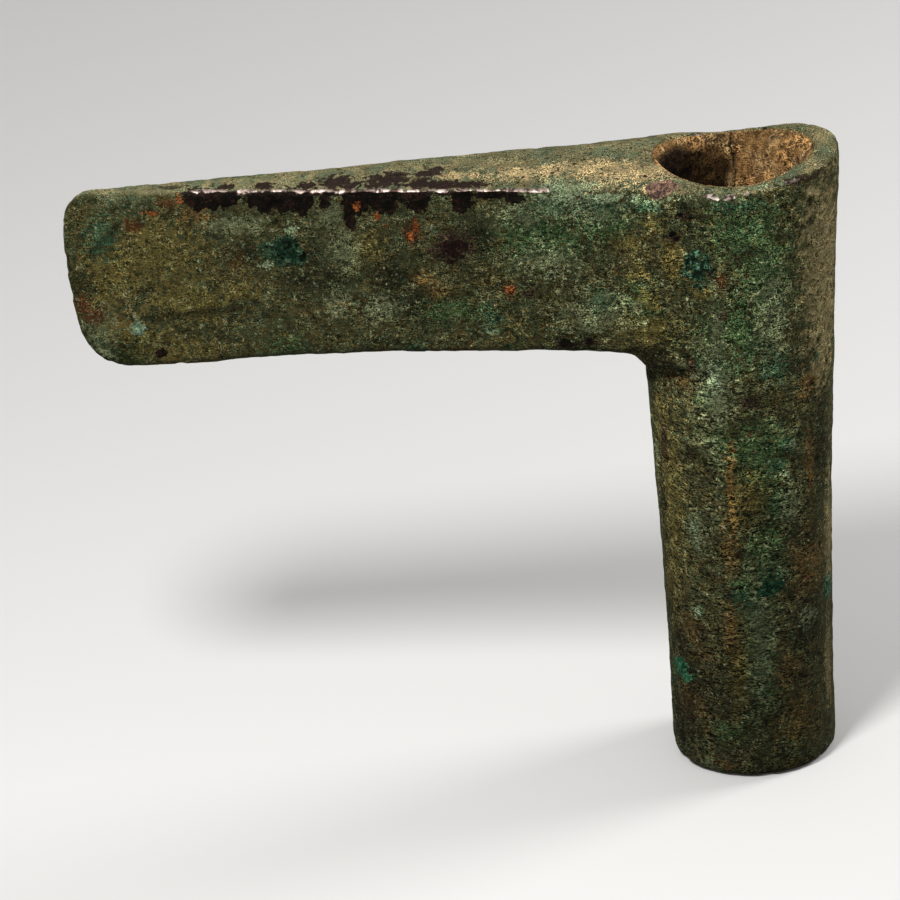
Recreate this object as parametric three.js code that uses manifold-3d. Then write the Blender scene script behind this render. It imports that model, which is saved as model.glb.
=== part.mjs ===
import * as THREE from 'three';
import { mergeVertices } from 'three/addons/utils/BufferGeometryUtils.js';
import Module from 'manifold-3d';

// A cast bronze shaft-hole axe head, in millimetres. The haft runs up the socket along +Z, the blade
// points along -X, and the plane y = 0 halves the casting. The origin is on the socket's axis at its foot.

// Socket, the long tube round the haft, which flares a little towards its mouth
const socketHeight = 107.8;
const footRadius = 13.5;
const headHalfLength = 17.6;
const headHalfWidth = 14.2;
const headShift = 0.5;
const headSquareness = 2.2;
const flarePower = 1.9;
const footRound = 1.8;
const rimRound = 1.2;

// Bore, open at both ends
const boreFootRadius = 10.2;
const mouthHalfLength = 12.8;
const mouthHalfWidth = 11.3;
const mouthRound = 1;
const lipStopShare = 0.88;
const footLip = 0.3;

// Blade, a straight wedge whose flanks swell where they flow into the socket
const bladeReach = 108.4;
const edgeHalfThickness = 0.8;
const rootHalfThickness = 12.6;
const bulge = 1.5;
const bulgeStart = 26;
const bulgeEnd = 5;
const bulgeFadeShare = 0.35;
const topFall = 1.6;
const crownDrop = 2.7;
const crownFadePower = 1.6;
const undersideHeight = 77;
const undersideEdgeSag = 1.9;
const undersideRootSag = 1;
const sagStartShare = 0.5;
const rootSagShare = 0.35;

// Cutting edge, bowed outwards with its lower end set back, and its two round corners
const edgePeakShare = 0.73;
const lowSetBack = 3.4;
const topSetBack = 1.5;
const lowCornerRadius = 6.5;
const topCornerRadius = 3.6;
const edgeBlendShare = 0.12;

// Long edges of the blade, and the fillet under its root
const topEdgeRound = 1.2;
const lowEdgeRound = 2.6;
const roundLimitShare = 0.6;
const filletReach = 5;
const filletDrop = 5;

// How the blade sinks into the socket where the two become one casting
const diveStart = 7;
const diveEnd = 1;
const flankDive = 0.8;
const topDive = 0.5;

// Earth left in the bore by burial
const fitGap = 0.3;
const earthThickness = 1.2;
const earthRoughness = 0.4;
const earthFeatherShare = 0.4;
const earthFeatherReachShare = 0.3;
const earthBelowRim = 1.3;
const earthAboveFoot = 3;

// Crusts of corrosion, thin solids that follow the metal under them
const crustGap = 0.3;
const crustThickness = 0.45;
const crustInwards = 1.2;
const crustOutwards = 3;
const rimCrustInwards = 2.4;
const rimRiseShare = 2.2;
const blisterFromEdge = 1.7;

const overrun = 6;
const weldLength = 0.02;

// Counts of points and steps
const aroundSocket = 64;
const aroundBore = 48;
const aroundEarth = 40;
const aroundCrust = 22;
const earthLumps = [[3, 1], [5, -2], [1, 4]];
const roundSteps = 4;

const wasm = await Module();
wasm.setup();

const clamp01 = (v) => Math.min(Math.max(v, 0), 1);
const smooth = (v) => clamp01(v) ** 2 * (3 - 2 * clamp01(v));
const mix = (a, b, share) => a + (b - a) * share;
const turn = (i, count) => (2 * Math.PI * i) / count;
const quarter = (i, count) => (Math.PI / 2) * (i / count);
const steps = (count) => Array.from({ length: count }, (_, i) => i);

// Faces between rings of equal count. Each ring runs anticlockwise, seen from the side of the later rings.
function bands(rings, closed) {
  const count = rings[0].length;
  const at = (r, i) => (r % rings.length) * count + (i % count);
  const faces = [];
  for (const r of steps(closed ? rings.length : rings.length - 1)) {
    for (const i of steps(count)) {
      faces.push(at(r, i), at(r, i + 1), at(r + 1, i + 1));
      faces.push(at(r, i), at(r + 1, i + 1), at(r + 1, i));
    }
  }
  return faces;
}

function meshOf(points, faces) {
  const geometry = new THREE.BufferGeometry();
  const positions = points.flatMap((p) => p.toArray());
  geometry.setAttribute('position', new THREE.Float32BufferAttribute(positions, 3));
  geometry.setIndex(faces);
  return geometry;
}

// A tube of rings whose two ends are closed by fans round a middle point
function fanSkin(rings, first, last) {
  const count = rings[0].length;
  const end = (rings.length - 1) * count;
  const middle = rings.length * count;
  const faces = bands(rings, false);
  for (const i of steps(count)) {
    const next = (i + 1) % count;
    faces.push(middle, next, i, middle + 1, end + i, end + next);
  }
  return meshOf([...rings.flat(), first, last], faces);
}

// A tube of rings that mirror themselves left to right, whose ends are closed straight across
function zipSkin(rings) {
  const count = rings[0].length;
  const end = (rings.length - 1) * count;
  const faces = bands(rings, false);
  for (const i of steps(count / 2)) {
    const [a, b, c, d] = [i, i + 1, (count - i - 1) % count, (count - i) % count];
    if (c !== b) faces.push(a, c, b, end + a, end + b, end + c);
    if (d !== a) faces.push(a, d, c, end + a, end + c, end + d);
  }
  return meshOf(rings.flat(), faces);
}

function solid(geometry) {
  geometry.deleteAttribute('normal');
  geometry.deleteAttribute('uv');
  const merged = mergeVertices(geometry);
  const triVerts = new Uint32Array(merged.index.array);
  const vertProperties = new Float32Array(merged.attributes.position.array);
  return new wasm.Manifold(new wasm.Mesh({ numProp: 3, vertProperties, triVerts }));
}

// The surface of a joined or cut solid. Edges too short to matter are closed up, and the faces that this
// leaves without any area, alone or back to back, are dropped.
function surfaceOf(manifold) {
  const mesh = manifold.getMesh();
  const pointAt = (i) => new THREE.Vector3().fromArray(mesh.vertProperties, 3 * i);
  const points = steps(mesh.numVert).map(pointAt);
  const home = points.map((_, i) => i);
  const find = (i) => {
    let at = i;
    while (home[at] !== at) at = home[at];
    return at;
  };
  const triangles = steps(mesh.numTri).map((i) => Array.from(mesh.triVerts.slice(3 * i, 3 * i + 3)));
  for (const [a, b, c] of triangles) {
    for (const [from, to] of [[a, b], [b, c], [c, a]]) {
      const [low, high] = [find(from), find(to)].sort((p, q) => p - q);
      if (points[low].distanceTo(points[high]) < weldLength) home[high] = low;
    }
  }
  const kept = new Map();
  for (const triangle of triangles) {
    const corners = triangle.map(find);
    const key = corners.toSorted((p, q) => p - q).join(' ');
    if (new Set(corners).size < 3) continue;
    if (kept.has(key)) kept.delete(key);
    else kept.set(key, corners);
  }
  const geometry = mergeVertices(meshOf(points, [...kept.values()].flat()).toNonIndexed());
  geometry.computeVertexNormals();
  return geometry;
}

// Sections of the socket and of its bore at a height. Both follow the same flare.
const flare = (z) => clamp01(z / socketHeight) ** flarePower;
const sectionLength = (z) => mix(footRadius, headHalfLength, flare(z));
const sectionWidth = (z) => mix(footRadius, headHalfWidth, flare(z));
const sectionCentre = (z) => -headShift * flare(z);
const sectionPower = (z) => mix(2, headSquareness, flare(z));
const boreLength = (z) => mix(boreFootRadius, mouthHalfLength, flare(z));
const boreWidth = (z) => mix(boreFootRadius, mouthHalfWidth, flare(z));

function oval(angle, halfLength, halfWidth, centre, power) {
  const bend = (v) => Math.sign(v) * Math.abs(v) ** (2 / power);
  return [centre + halfLength * bend(Math.cos(angle)), halfWidth * bend(Math.sin(angle))];
}

// Plan outline of the head: wedge and swelling in front, the socket's oval behind
const wedgeRise = (rootHalfThickness - edgeHalfThickness) / bladeReach;
const wedgeHalf = (x) => edgeHalfThickness + (x + bladeReach) * wedgeRise;
const swelling = (x) => bulge * smooth((x + bulgeStart) / (bulgeStart - bulgeEnd));

function planHalf(x) {
  const front = wedgeHalf(x) + swelling(x);
  const share = clamp01((x + headShift) / headHalfLength);
  const behind = headHalfWidth * (1 - share ** headSquareness) ** (1 / headSquareness);
  return mix(front, behind, smooth((x + bulgeEnd) / bulgeEnd));
}

// Top surface of blade and socket: it falls towards the cutting edge, and to both sides of its middle
function topHeight(x, y) {
  const half = Math.max(planHalf(x), rimRound);
  const behind = clamp01((x + headShift) / headHalfLength);
  const across = clamp01(Math.abs(y) / half) ** 2;
  const drop = crownDrop * (half / headHalfWidth) * (1 - behind ** 2) ** crownFadePower * across;
  return socketHeight + topFall * (Math.min(x, 0) / bladeReach) - drop;
}

const sunkAt = (x) => smooth((x + diveStart) / (diveStart - diveEnd));

// Socket without its bore. In front it stays just under the blade's top, so that the two cross cleanly.
function socketSolid(grow) {
  const rings = [];
  const ringAt = (inset, heightAt) => {
    rings.push(steps(aroundSocket).map((i) => {
      const angle = turn(i, aroundSocket);
      const level = heightAt(...oval(angle, headHalfLength, headHalfWidth, -headShift, headSquareness));
      const halfLength = sectionLength(level) + grow - inset;
      const halfWidth = sectionWidth(level) + grow - inset;
      const [x, y] = oval(angle, halfLength, halfWidth, sectionCentre(level), sectionPower(level));
      return new THREE.Vector3(x, y, level);
    }));
  };
  for (const i of steps(roundSteps + 1)) {
    const angle = quarter(i, roundSteps);
    ringAt(footRound * (1 - Math.sin(angle)), () => footRound * (1 - Math.cos(angle)) - grow);
  }
  const socketTop = (x, y) => topHeight(x, y) - topDive * (1 - sunkAt(x));
  const wallShares = [0.1, 0.22, 0.35, 0.48, 0.6, 0.7, 0.79, 0.87, 0.93];
  for (const share of wallShares) {
    ringAt(0, (x, y) => mix(footRound, socketTop(x, y) - rimRound, share));
  }
  for (const i of steps(roundSteps + 1)) {
    const angle = quarter(i, roundSteps);
    const below = rimRound * (1 - Math.sin(angle)) - grow;
    ringAt(rimRound * (1 - Math.cos(angle)), (x, y) => socketTop(x, y) - below);
  }
  const rim = rings.at(-1);
  const capShares = [0.7, 0.35];
  for (const share of capShares) {
    rings.push(rim.map((p) => {
      const x = mix(-headShift, p.x, share);
      const y = p.y * share;
      return new THREE.Vector3(x, y, socketTop(x, y) + grow);
    }));
  }
  const foot = new THREE.Vector3(0, 0, -grow);
  const head = new THREE.Vector3(-headShift, 0, socketTop(-headShift, 0) + grow);
  return solid(fanSkin(rings, foot, head));
}

// Bore cutter, from below the foot to above the mouth, with the rounding of the mouth's inner edge
function boreSolid() {
  const rings = [];
  const ringAt = (outset, heightAt) => {
    rings.push(steps(aroundBore).map((i) => {
      const angle = turn(i, aroundBore);
      const level = heightAt(topHeight(...oval(angle, mouthHalfLength, mouthHalfWidth, 0, 2)));
      const [x, y] = oval(angle, boreLength(level) + outset, boreWidth(level) + outset, 0, 2);
      return new THREE.Vector3(x, y, level);
    }));
  };
  ringAt(footLip, () => -overrun);
  ringAt(footLip, () => 0);
  ringAt(0, () => footLip);
  const wallShares = [0.2, 0.4, 0.6, 0.76, 0.89];
  for (const share of wallShares) ringAt(0, (top) => mix(footLip, top - mouthRound, share));
  for (const i of steps(roundSteps)) {
    const angle = quarter(i, roundSteps);
    ringAt(mouthRound * (1 - Math.cos(angle)), (top) => top - mouthRound * (1 - Math.sin(angle)));
  }
  const lip = quarter(lipStopShare, 1);
  const lipOutset = mouthRound * (1 - Math.cos(lip));
  ringAt(lipOutset, (top) => top - mouthRound * (1 - Math.sin(lip)));
  ringAt(lipOutset, (top) => top + overrun);
  const below = new THREE.Vector3(0, 0, -overrun);
  const above = new THREE.Vector3(0, 0, socketHeight + overrun);
  return solid(fanSkin(rings, below, above));
}

// Underside of the blade, lower towards the cutting edge and towards the root, with a fillet down the socket
function undersideAt(x, y) {
  const towardsEdge = smooth((-x / bladeReach - sagStartShare) / (1 - sagStartShare));
  const towardsRoot = smooth((x / bladeReach + rootSagShare) / rootSagShare);
  const along = (x - sectionCentre(undersideHeight)) / sectionLength(undersideHeight);
  const across = y / sectionWidth(undersideHeight);
  const outside = (Math.hypot(along, across) - 1) * sectionWidth(undersideHeight);
  const fillet = filletDrop * (1 - clamp01(outside / filletReach)) ** 2;
  return undersideHeight - undersideEdgeSag * towardsEdge - undersideRootSag * towardsRoot - fillet;
}

// Cutting edge: x at a share of the blade's height, counted from the underside
const edgeHeight = topHeight(-bladeReach, 0) - undersideAt(-bladeReach, 0);
const cornerSetBack = (radius, depth) => radius - Math.sqrt(radius ** 2 - Math.max(radius - depth, 0) ** 2);

function edgeAt(heightShare) {
  const below = clamp01(1 - heightShare / edgePeakShare);
  const above = clamp01((heightShare - edgePeakShare) / (1 - edgePeakShare));
  const bow = lowSetBack * below ** 2 + topSetBack * above ** 2;
  const lowCorner = cornerSetBack(lowCornerRadius, heightShare * edgeHeight);
  const topCorner = cornerSetBack(topCornerRadius, (1 - heightShare) * edgeHeight);
  return -bladeReach + bow + lowCorner + topCorner;
}

// Half thickness of the blade: flat flanks, thinned to an even cutting edge and sunk into the socket
function bladeHalf(x, lengthShare, heightShare) {
  const nearEdge = 1 - smooth(lengthShare / edgeBlendShare);
  const spare = wedgeHalf(edgeAt(heightShare)) - edgeHalfThickness;
  const lift = smooth(heightShare / bulgeFadeShare);
  return wedgeHalf(x) - spare * nearEdge + swelling(x) * lift - flankDive * sunkAt(x);
}

// One half of a section across the blade, from the middle of its top down to the middle of its underside
const topShares = [0, 0.3, 0.6, 0.85];
const flankShares = [0.02, 0.05, 0.1, 0.18, 0.32, 0.5, 0.66, 0.78, 0.86, 0.92, 0.96, 0.985];

function halfSection(lengthShare, thinning, setBack, grow) {
  const xAt = (heightShare) => mix(edgeAt(heightShare), -diveEnd, lengthShare) + setBack;
  const halfAt = (heightShare) => bladeHalf(xAt(heightShare), lengthShare, heightShare) * thinning;
  const topRound = Math.min(topEdgeRound, halfAt(1) * roundLimitShare);
  const lowRound = Math.min(lowEdgeRound, halfAt(0) * roundLimitShare);
  const points = [];
  const add = (heightShare, inset, widthShare = 1) => {
    const x = xAt(heightShare);
    const half = (halfAt(heightShare) - inset) * widthShare;
    const high = topHeight(x, half) - topDive * sunkAt(x) + grow;
    const low = undersideAt(x, half) - grow;
    const side = half + grow * widthShare;
    points.push(new THREE.Vector3(x - grow * (1 - lengthShare), -side, mix(low, high, heightShare)));
  };
  for (const share of topShares) add(1, topRound, share);
  for (const i of steps(roundSteps + 1)) {
    const angle = quarter(i, roundSteps);
    add(1 - (topRound * (1 - Math.cos(angle))) / edgeHeight, topRound * (1 - Math.sin(angle)));
  }
  for (const share of flankShares) add(mix(1 - topRound / edgeHeight, lowRound / edgeHeight, share), 0);
  for (const i of steps(roundSteps + 1)) {
    const angle = quarter(i, roundSteps);
    add((lowRound * (1 - Math.sin(angle))) / edgeHeight, lowRound * (1 - Math.cos(angle)));
  }
  for (const share of topShares.toReversed()) add(0, lowRound, share);
  return points;
}

function bladeSolid(grow) {
  const noseAngle = (i) => quarter(i + 1, roundSteps + 1);
  const lengthShares = [0.012, 0.03, 0.06, 0.1, 0.15, 0.22, 0.3, 0.38, 0.46, 0.54, 0.62, 0.7, 0.76, 0.8,
    0.83, 0.855, 0.875, 0.893, 0.91, 0.93, 0.95, 0.975, 1];
  const halves = [
    ...steps(roundSteps).map((i) => halfSection(
      0,
      Math.sin(noseAngle(i)),
      edgeHalfThickness * (1 - Math.cos(noseAngle(i))),
      grow,
    )),
    ...lengthShares.map((share) => halfSection(share, 1, 0, grow)),
  ];
  const mirrored = (p) => new THREE.Vector3(p.x, -p.y, p.z);
  const rings = halves.map((half) => [...half, ...half.slice(1, -1).toReversed().map(mirrored)]);
  return solid(zipSkin(rings));
}

// Earth lining: an open sleeve that follows the bore outside and is uneven inside
function earthGeometry() {
  const ringAt = (share, insetAt) => steps(aroundEarth).map((i) => {
    const angle = turn(i, aroundEarth);
    const top = topHeight(...oval(angle, mouthHalfLength, mouthHalfWidth, 0, 2)) - earthBelowRim;
    const level = mix(earthAboveFoot, top, share);
    const inset = fitGap + insetAt(angle, share);
    const [x, y] = oval(angle, boreLength(level) - inset, boreWidth(level) - inset, 0, 2);
    return new THREE.Vector3(x, y, level);
  });
  const wave = (angle, share) => {
    const waves = earthLumps.map(([around, along]) => Math.cos(around * angle + turn(along * share, 1)));
    return waves.reduce((sum, height) => sum + height, 0) / waves.length;
  };
  const inside = (angle, share) => {
    const feather = mix(earthFeatherShare, 1, smooth(Math.min(share, 1 - share) / earthFeatherReachShare));
    return (earthThickness + earthRoughness * wave(angle, share)) * feather;
  };
  const heightShares = [0, 0.08, 0.22, 0.38, 0.54, 0.68, 0.8, 0.9, 0.96, 1];
  const rings = [
    ...heightShares.map((share) => ringAt(share, () => 0)),
    ...heightShares.toReversed().map((share) => ringAt(share, inside)),
  ];
  return meshOf(rings.flat(), bands(rings, true));
}

// A crust: a thin shell round the casting, kept only where an uneven patch is pushed through it
const shellOutside = bladeSolid(crustGap + crustThickness).add(socketSolid(crustGap + crustThickness));
const shellInside = bladeSolid(crustGap).add(socketSolid(crustGap));

function patchSolid({ centre, outwards, length, width, lean, lobeShares, inwards }) {
  const points = steps(aroundCrust).map((i) => {
    const angle = turn(i, aroundCrust);
    const waves = lobeShares.map((share, k) => share * Math.cos((k + 2) * angle + k + lean));
    const lobes = waves.reduce((sum, wave) => sum + wave, 1);
    return new THREE.Vector2(length * Math.cos(angle), width * Math.sin(angle)).multiplyScalar(lobes / 2);
  });
  const depth = inwards + crustOutwards;
  const geometry = new THREE.ExtrudeGeometry(new THREE.Shape(points), { depth, bevelEnabled: false });
  const out = outwards.clone().normalize();
  const along = new THREE.Vector3(-out.y, out.x, 0).normalize();
  const up = new THREE.Vector3().crossVectors(out, along);
  geometry.rotateZ(lean);
  geometry.translate(0, 0, -inwards);
  geometry.applyMatrix4(new THREE.Matrix4().makeBasis(along, up, out).setPosition(centre));
  return solid(geometry);
}

const crustGeometry = (patch) => surfaceOf(shellOutside.intersect(patchSolid(patch)).subtract(shellInside));

// A place on the near flank is given as shares of the blade's reach and height
function onFlank(reachShare, heightShare) {
  const x = -bladeReach * reachShare;
  const half = bladeHalf(x, 1 - reachShare, heightShare);
  return {
    centre: new THREE.Vector3(x, -half, mix(undersideAt(x, half), topHeight(x, half), heightShare)),
    outwards: new THREE.Vector3(-wedgeRise, -1, 0),
    inwards: crustInwards,
  };
}

// A place on the socket is given as shares of a turn and of its height
function onSocket(turnShare, heightShare) {
  const angle = turn(turnShare, 1);
  const z = socketHeight * heightShare;
  const [x, y] = oval(angle, sectionLength(z), sectionWidth(z), sectionCentre(z), sectionPower(z));
  return {
    centre: new THREE.Vector3(x, y, z),
    outwards: new THREE.Vector3(Math.cos(angle), Math.sin(angle), 0),
    inwards: crustInwards,
  };
}

// A place on the rim is given as a share of a turn and its distance in from the outer edge
function onRim(turnShare, fromEdge) {
  const angle = turn(turnShare, 1);
  const [x] = oval(angle, headHalfLength, headHalfWidth, -headShift, headSquareness);
  const y = fromEdge - planHalf(x);
  return {
    centre: new THREE.Vector3(x, y, topHeight(x, y)),
    outwards: new THREE.Vector3(Math.cos(angle), Math.sin(angle), rimRiseShare),
    inwards: rimCrustInwards,
  };
}

const tealBlade = { length: 6.4, width: 6.2, lean: 0.5, lobeShares: [0.16, 0.12, 0.06] };
const cupriteBlade = { length: 6.6, width: 5.4, lean: 0.9, lobeShares: [0.1, 0.1, 0.08] };
const mintEdge = { length: 2.2, width: 2.7, lean: 0.2, lobeShares: [0.12, 0.08] };
const pitHead = { length: 4.6, width: 6.6, lean: 0.3, lobeShares: [0.14, 0.1, 0.08] };
const malachiteSocket = { length: 3.6, width: 3.2, lean: 2.4, lobeShares: [0.04, 0.2] };
const greenSocket = { length: 6.4, width: 4.4, lean: 0.4, lobeShares: [0.18, 0.12, 0.05] };
const tealBack = { length: 2.8, width: 4.6, lean: 0.1, lobeShares: [0.14, 0.08] };
const cupriteRim = { length: 5.4, width: 3.4, lean: 0.1, lobeShares: [0.08, 0.05] };

const crusts = {
  teal_crust_blade: { ...onFlank(0.668, 0.66), ...tealBlade },
  cuprite_crust_blade: { ...onFlank(0.42, 0.67), ...cupriteBlade },
  mint_crust_edge: { ...onFlank(0.896, 0.23), ...mintEdge },
  pit_crust_head: { ...onSocket(0.691, 0.862), ...pitHead },
  malachite_flake_socket: { ...onSocket(0.581, 0.163), ...malachiteSocket },
  green_crust_socket: { ...onSocket(0.775, 0.327), ...greenSocket },
  teal_crust_back: { ...onSocket(0.936, 0.283), ...tealBack },
  cuprite_blister_rim: { ...onRim(0.646, blisterFromEdge), ...cupriteRim },
};

// Finishes, as old bronze and its corrosion look
function finish(color, roughness, metalness) {
  return new THREE.MeshStandardMaterial({ color, roughness, metalness });
}

const bronze = finish('#4c4a33', 0.62, 0.35);
const earth = finish('#8a5f38', 0.95, 0);
const crustFinishes = {
  teal: finish('#2b6a55', 0.8, 0),
  mint: finish('#6fae90', 0.85, 0),
  cuprite: finish('#3d1f1c', 0.6, 0.1),
  pit: finish('#2a3b2c', 0.85, 0),
  malachite: finish('#2f8a5c', 0.75, 0),
  green: finish('#3a7a4a', 0.8, 0),
};

const axe = new THREE.Group();

function place(name, geometry, material) {
  const mesh = new THREE.Mesh(geometry, material);
  mesh.name = name;
  axe.add(mesh);
}

const casting = bladeSolid(0).add(socketSolid(0)).subtract(boreSolid());
place('axe_casting', surfaceOf(casting), bronze);
place('socket_earth', earthGeometry(), earth);
for (const [name, patch] of Object.entries(crusts)) {
  const [kind] = name.split('_');
  place(name, crustGeometry(patch), crustFinishes[kind]);
}

export default axe;
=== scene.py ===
# %% [markdown]
# An ancient bronze axe head, dressed over its frame
#
# The frame holds the sizes: one casting with a blade and a long socket, the earth left in the bore
# and eight crusts of corrosion. Nothing moves on it. What the frame lacks is the surface of a thing
# that lay in the ground for thousands of years, and that is what this script makes.

import math

import bpy
import numpy as np
from mathutils import Matrix, Vector, noise
from mathutils.bvhtree import BVHTree
from mathutils.kdtree import KDTree


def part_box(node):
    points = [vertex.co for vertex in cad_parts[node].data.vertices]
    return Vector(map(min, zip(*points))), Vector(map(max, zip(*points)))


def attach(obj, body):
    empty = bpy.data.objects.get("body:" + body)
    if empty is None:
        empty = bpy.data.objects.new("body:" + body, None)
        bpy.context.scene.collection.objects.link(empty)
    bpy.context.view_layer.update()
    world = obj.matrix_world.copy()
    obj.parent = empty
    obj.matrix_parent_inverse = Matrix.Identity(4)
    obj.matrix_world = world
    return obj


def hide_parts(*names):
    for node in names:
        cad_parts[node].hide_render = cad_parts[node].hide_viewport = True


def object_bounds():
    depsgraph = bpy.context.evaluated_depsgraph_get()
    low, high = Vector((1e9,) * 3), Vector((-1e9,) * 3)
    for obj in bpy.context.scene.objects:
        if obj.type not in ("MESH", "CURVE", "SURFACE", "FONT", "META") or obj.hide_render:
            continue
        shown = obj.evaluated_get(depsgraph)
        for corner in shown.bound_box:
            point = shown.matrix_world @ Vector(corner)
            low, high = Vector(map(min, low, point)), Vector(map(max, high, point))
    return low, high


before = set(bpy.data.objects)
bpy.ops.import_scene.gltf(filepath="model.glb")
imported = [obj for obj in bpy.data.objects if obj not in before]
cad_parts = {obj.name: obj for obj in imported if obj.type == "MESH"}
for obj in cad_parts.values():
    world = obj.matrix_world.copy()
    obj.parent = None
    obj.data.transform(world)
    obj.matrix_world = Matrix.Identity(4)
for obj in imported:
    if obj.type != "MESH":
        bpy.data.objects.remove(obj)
frame_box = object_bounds()
MM = 0.001
ROOT = "root"
print("frame box in mm", [round(value / MM, 1) for corner in frame_box for value in corner])

# %% [markdown]
# Camera
#
# The photo was taken with a long lens from about a metre away, a little above the blade. Its camera
# was found by laying the frame's outline over the object's outline. With the same camera here, a
# pixel of the photo is also a ray in the scene, so a stain seen at some pixel can be put on the metal
# at that very place. That is simpler and safer than guessing its coordinates.

# %% Camera at the photo's viewing angle
PHOTO_SIZE = 900
FOCAL_PIXELS = 6105.7
SENSOR_WIDTH = 36
FARTHEST_SEEN = 20
CAMERA_AZIMUTH = math.radians(0.42)
CAMERA_ELEVATION = math.radians(25.19)
CAMERA_ROLL = math.radians(-3.36)
CAMERA_DISTANCE = 999.5 * MM
CAMERA_TARGET = Vector((-48.08 * MM, 0, 56.86 * MM))


def new_object(name, data):
    """An object made of that data, put into the scene."""
    made = bpy.data.objects.new(name, data)
    bpy.context.scene.collection.objects.link(made)
    return made


level_out = math.cos(CAMERA_ELEVATION)
to_camera = Vector((
    math.sin(CAMERA_AZIMUTH) * level_out,
    -math.cos(CAMERA_AZIMUTH) * level_out,
    math.sin(CAMERA_ELEVATION),
))
roll = Matrix.Rotation(CAMERA_ROLL, 3, to_camera)
image_right = roll @ Vector((math.cos(CAMERA_AZIMUTH), math.sin(CAMERA_AZIMUTH), 0))
image_up = to_camera.cross(image_right)
eye = CAMERA_TARGET + to_camera * CAMERA_DISTANCE

camera_data = bpy.data.cameras.new("camera")
camera_data.sensor_width = SENSOR_WIDTH
camera_data.lens = FOCAL_PIXELS / PHOTO_SIZE * SENSOR_WIDTH
camera_data.clip_end = FARTHEST_SEEN
camera = new_object("camera", camera_data)
turned = Matrix((image_right, image_up, to_camera)).transposed().to_4x4()
camera.matrix_world = Matrix.Translation(eye) @ turned
bpy.context.scene.camera = camera
print("lens in mm", round(camera_data.lens, 1))


# %% A pixel of the photo as a place on the metal
metal = BVHTree.FromObject(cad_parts["axe_casting"], bpy.context.evaluated_depsgraph_get())


def metal_at(pixel_x, pixel_y):
    """The point and the normal of the frame's casting that this pixel of the photo shows."""
    half = PHOTO_SIZE / 2
    direction = image_right * (pixel_x - half) + image_up * (half - pixel_y) - to_camera * FOCAL_PIXELS
    point, normal, _, _ = metal.ray_cast(eye, direction.normalized())
    if point is None:
        raise ValueError(f"pixel {pixel_x}, {pixel_y} misses the casting")
    return point, normal


pixels_per_metre = FOCAL_PIXELS / CAMERA_DISTANCE
print("pixels per mm at the axe", round(pixels_per_metre * MM, 2))

# %% [markdown]
# Floor and light
#
# A plain pale floor and soft light show the finish without drama. One lamp above and to the left
# models the form and draws the thin glint on the blade's long edge. A larger one, farther off behind
# on the right, lifts the back of the socket, and the world fills the rest. A pale floor would throw
# so much light back up that the underside lost its shadow, so the floor is pale only to the rays that
# see it, and darker to the light that bounces off it. Floor, world and metal are all webs of shader
# nodes. They could be drawn by hand in the Shader Editor, but a helper that makes a node, sets its
# values and links it keeps a web as short as a formula.


# %% Helpers for materials and their nodes
def fill(tree, node, values):
    """Set a node's inputs, with a link where the value comes from another node."""
    for name, value in values.items():
        if isinstance(value, bpy.types.NodeSocket):
            tree.links.new(value, node.inputs[name])
        else:
            node.inputs[name].default_value = value


def add(tree, kind, values=None, **settings):
    """A shader node with its settings and its inputs."""
    node = tree.nodes.new("ShaderNode" + kind)
    for name, value in settings.items():
        setattr(node, name, value)
    fill(tree, node, values or {})
    return node


def calculate(tree, operation, first, second=0.0, third=0.0):
    values = {0: first, 1: second, 2: third}
    return add(tree, "Math", values, operation=operation).outputs[0]


def lay(tree, mask, below, above):
    """One colour over another where the mask is 1. Mix repeats its sockets' names, so they go by number."""
    return add(tree, "Mix", {0: mask, 6: below, 7: above}, data_type="RGBA").outputs[2]


def new_material(name):
    material = bpy.data.materials.new(name)
    material.use_nodes = True
    return material, material.node_tree, material.node_tree.nodes["Principled BSDF"]


# %% Floor and world
bpy.context.scene.view_settings.view_transform = "Standard"

FLOOR_SIZE = 8
FLOOR_SEEN = (0.85, 0.84, 0.82, 1)
FLOOR_BOUNCE = (0.15, 0.15, 0.15, 1)
FLOOR_ROUGHNESS = 0.9
WHITE = (1, 1, 1, 1)
WORLD_LIGHT = 0.32
WORLD_SEEN = (0.86, 0.86, 0.85, 1)


def rays_that_see(tree):
    """1 for rays from the camera and for those seen in a mirror or through glass, 0 for plain light."""
    rays = add(tree, "LightPath").outputs
    reflected = calculate(tree, "MAXIMUM", rays["Is Glossy Ray"], rays["Is Transmission Ray"])
    return calculate(tree, "MAXIMUM", rays["Is Camera Ray"], reflected)


def make_floor():
    mesh = bpy.data.meshes.new("floor")
    half = FLOOR_SIZE / 2
    corners = [(-half, -half, 0), (half, -half, 0), (half, half, 0), (-half, half, 0)]
    mesh.from_pydata(corners, [], [(0, 1, 2, 3)])
    material, tree, surface = new_material("pale floor")
    colour = lay(tree, rays_that_see(tree), FLOOR_BOUNCE, FLOOR_SEEN)
    fill(tree, surface, {"Base Color": colour, "Roughness": FLOOR_ROUGHNESS})
    mesh.materials.append(material)
    new_object("floor", mesh)


def make_world():
    """Even light on the object, and a pale background where the floor ends."""
    world = bpy.data.worlds.new("studio")
    bpy.context.scene.world = world
    world.use_nodes = True
    tree = world.node_tree
    lighting = tree.nodes["Background"]
    fill(tree, lighting, {"Strength": WORLD_LIGHT, "Color": WHITE})
    seen = add(tree, "Background", {"Color": WORLD_SEEN})
    shaders = {"Fac": rays_that_see(tree), 1: lighting.outputs[0], 2: seen.outputs[0]}
    fill(tree, tree.nodes["World Output"], {"Surface": add(tree, "MixShader", shaders).outputs[0]})


make_floor()
make_world()
print("floor in metres", FLOOR_SIZE)

# %% Lamps, each with its place and size in metres and its power in watts
LAMPS = {
    "key": ((-0.17, -0.27, 0.46), 0.12, 1.95),
    "back": ((0.5, 0.2, 0.36), 0.25, 1.9),
}


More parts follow.
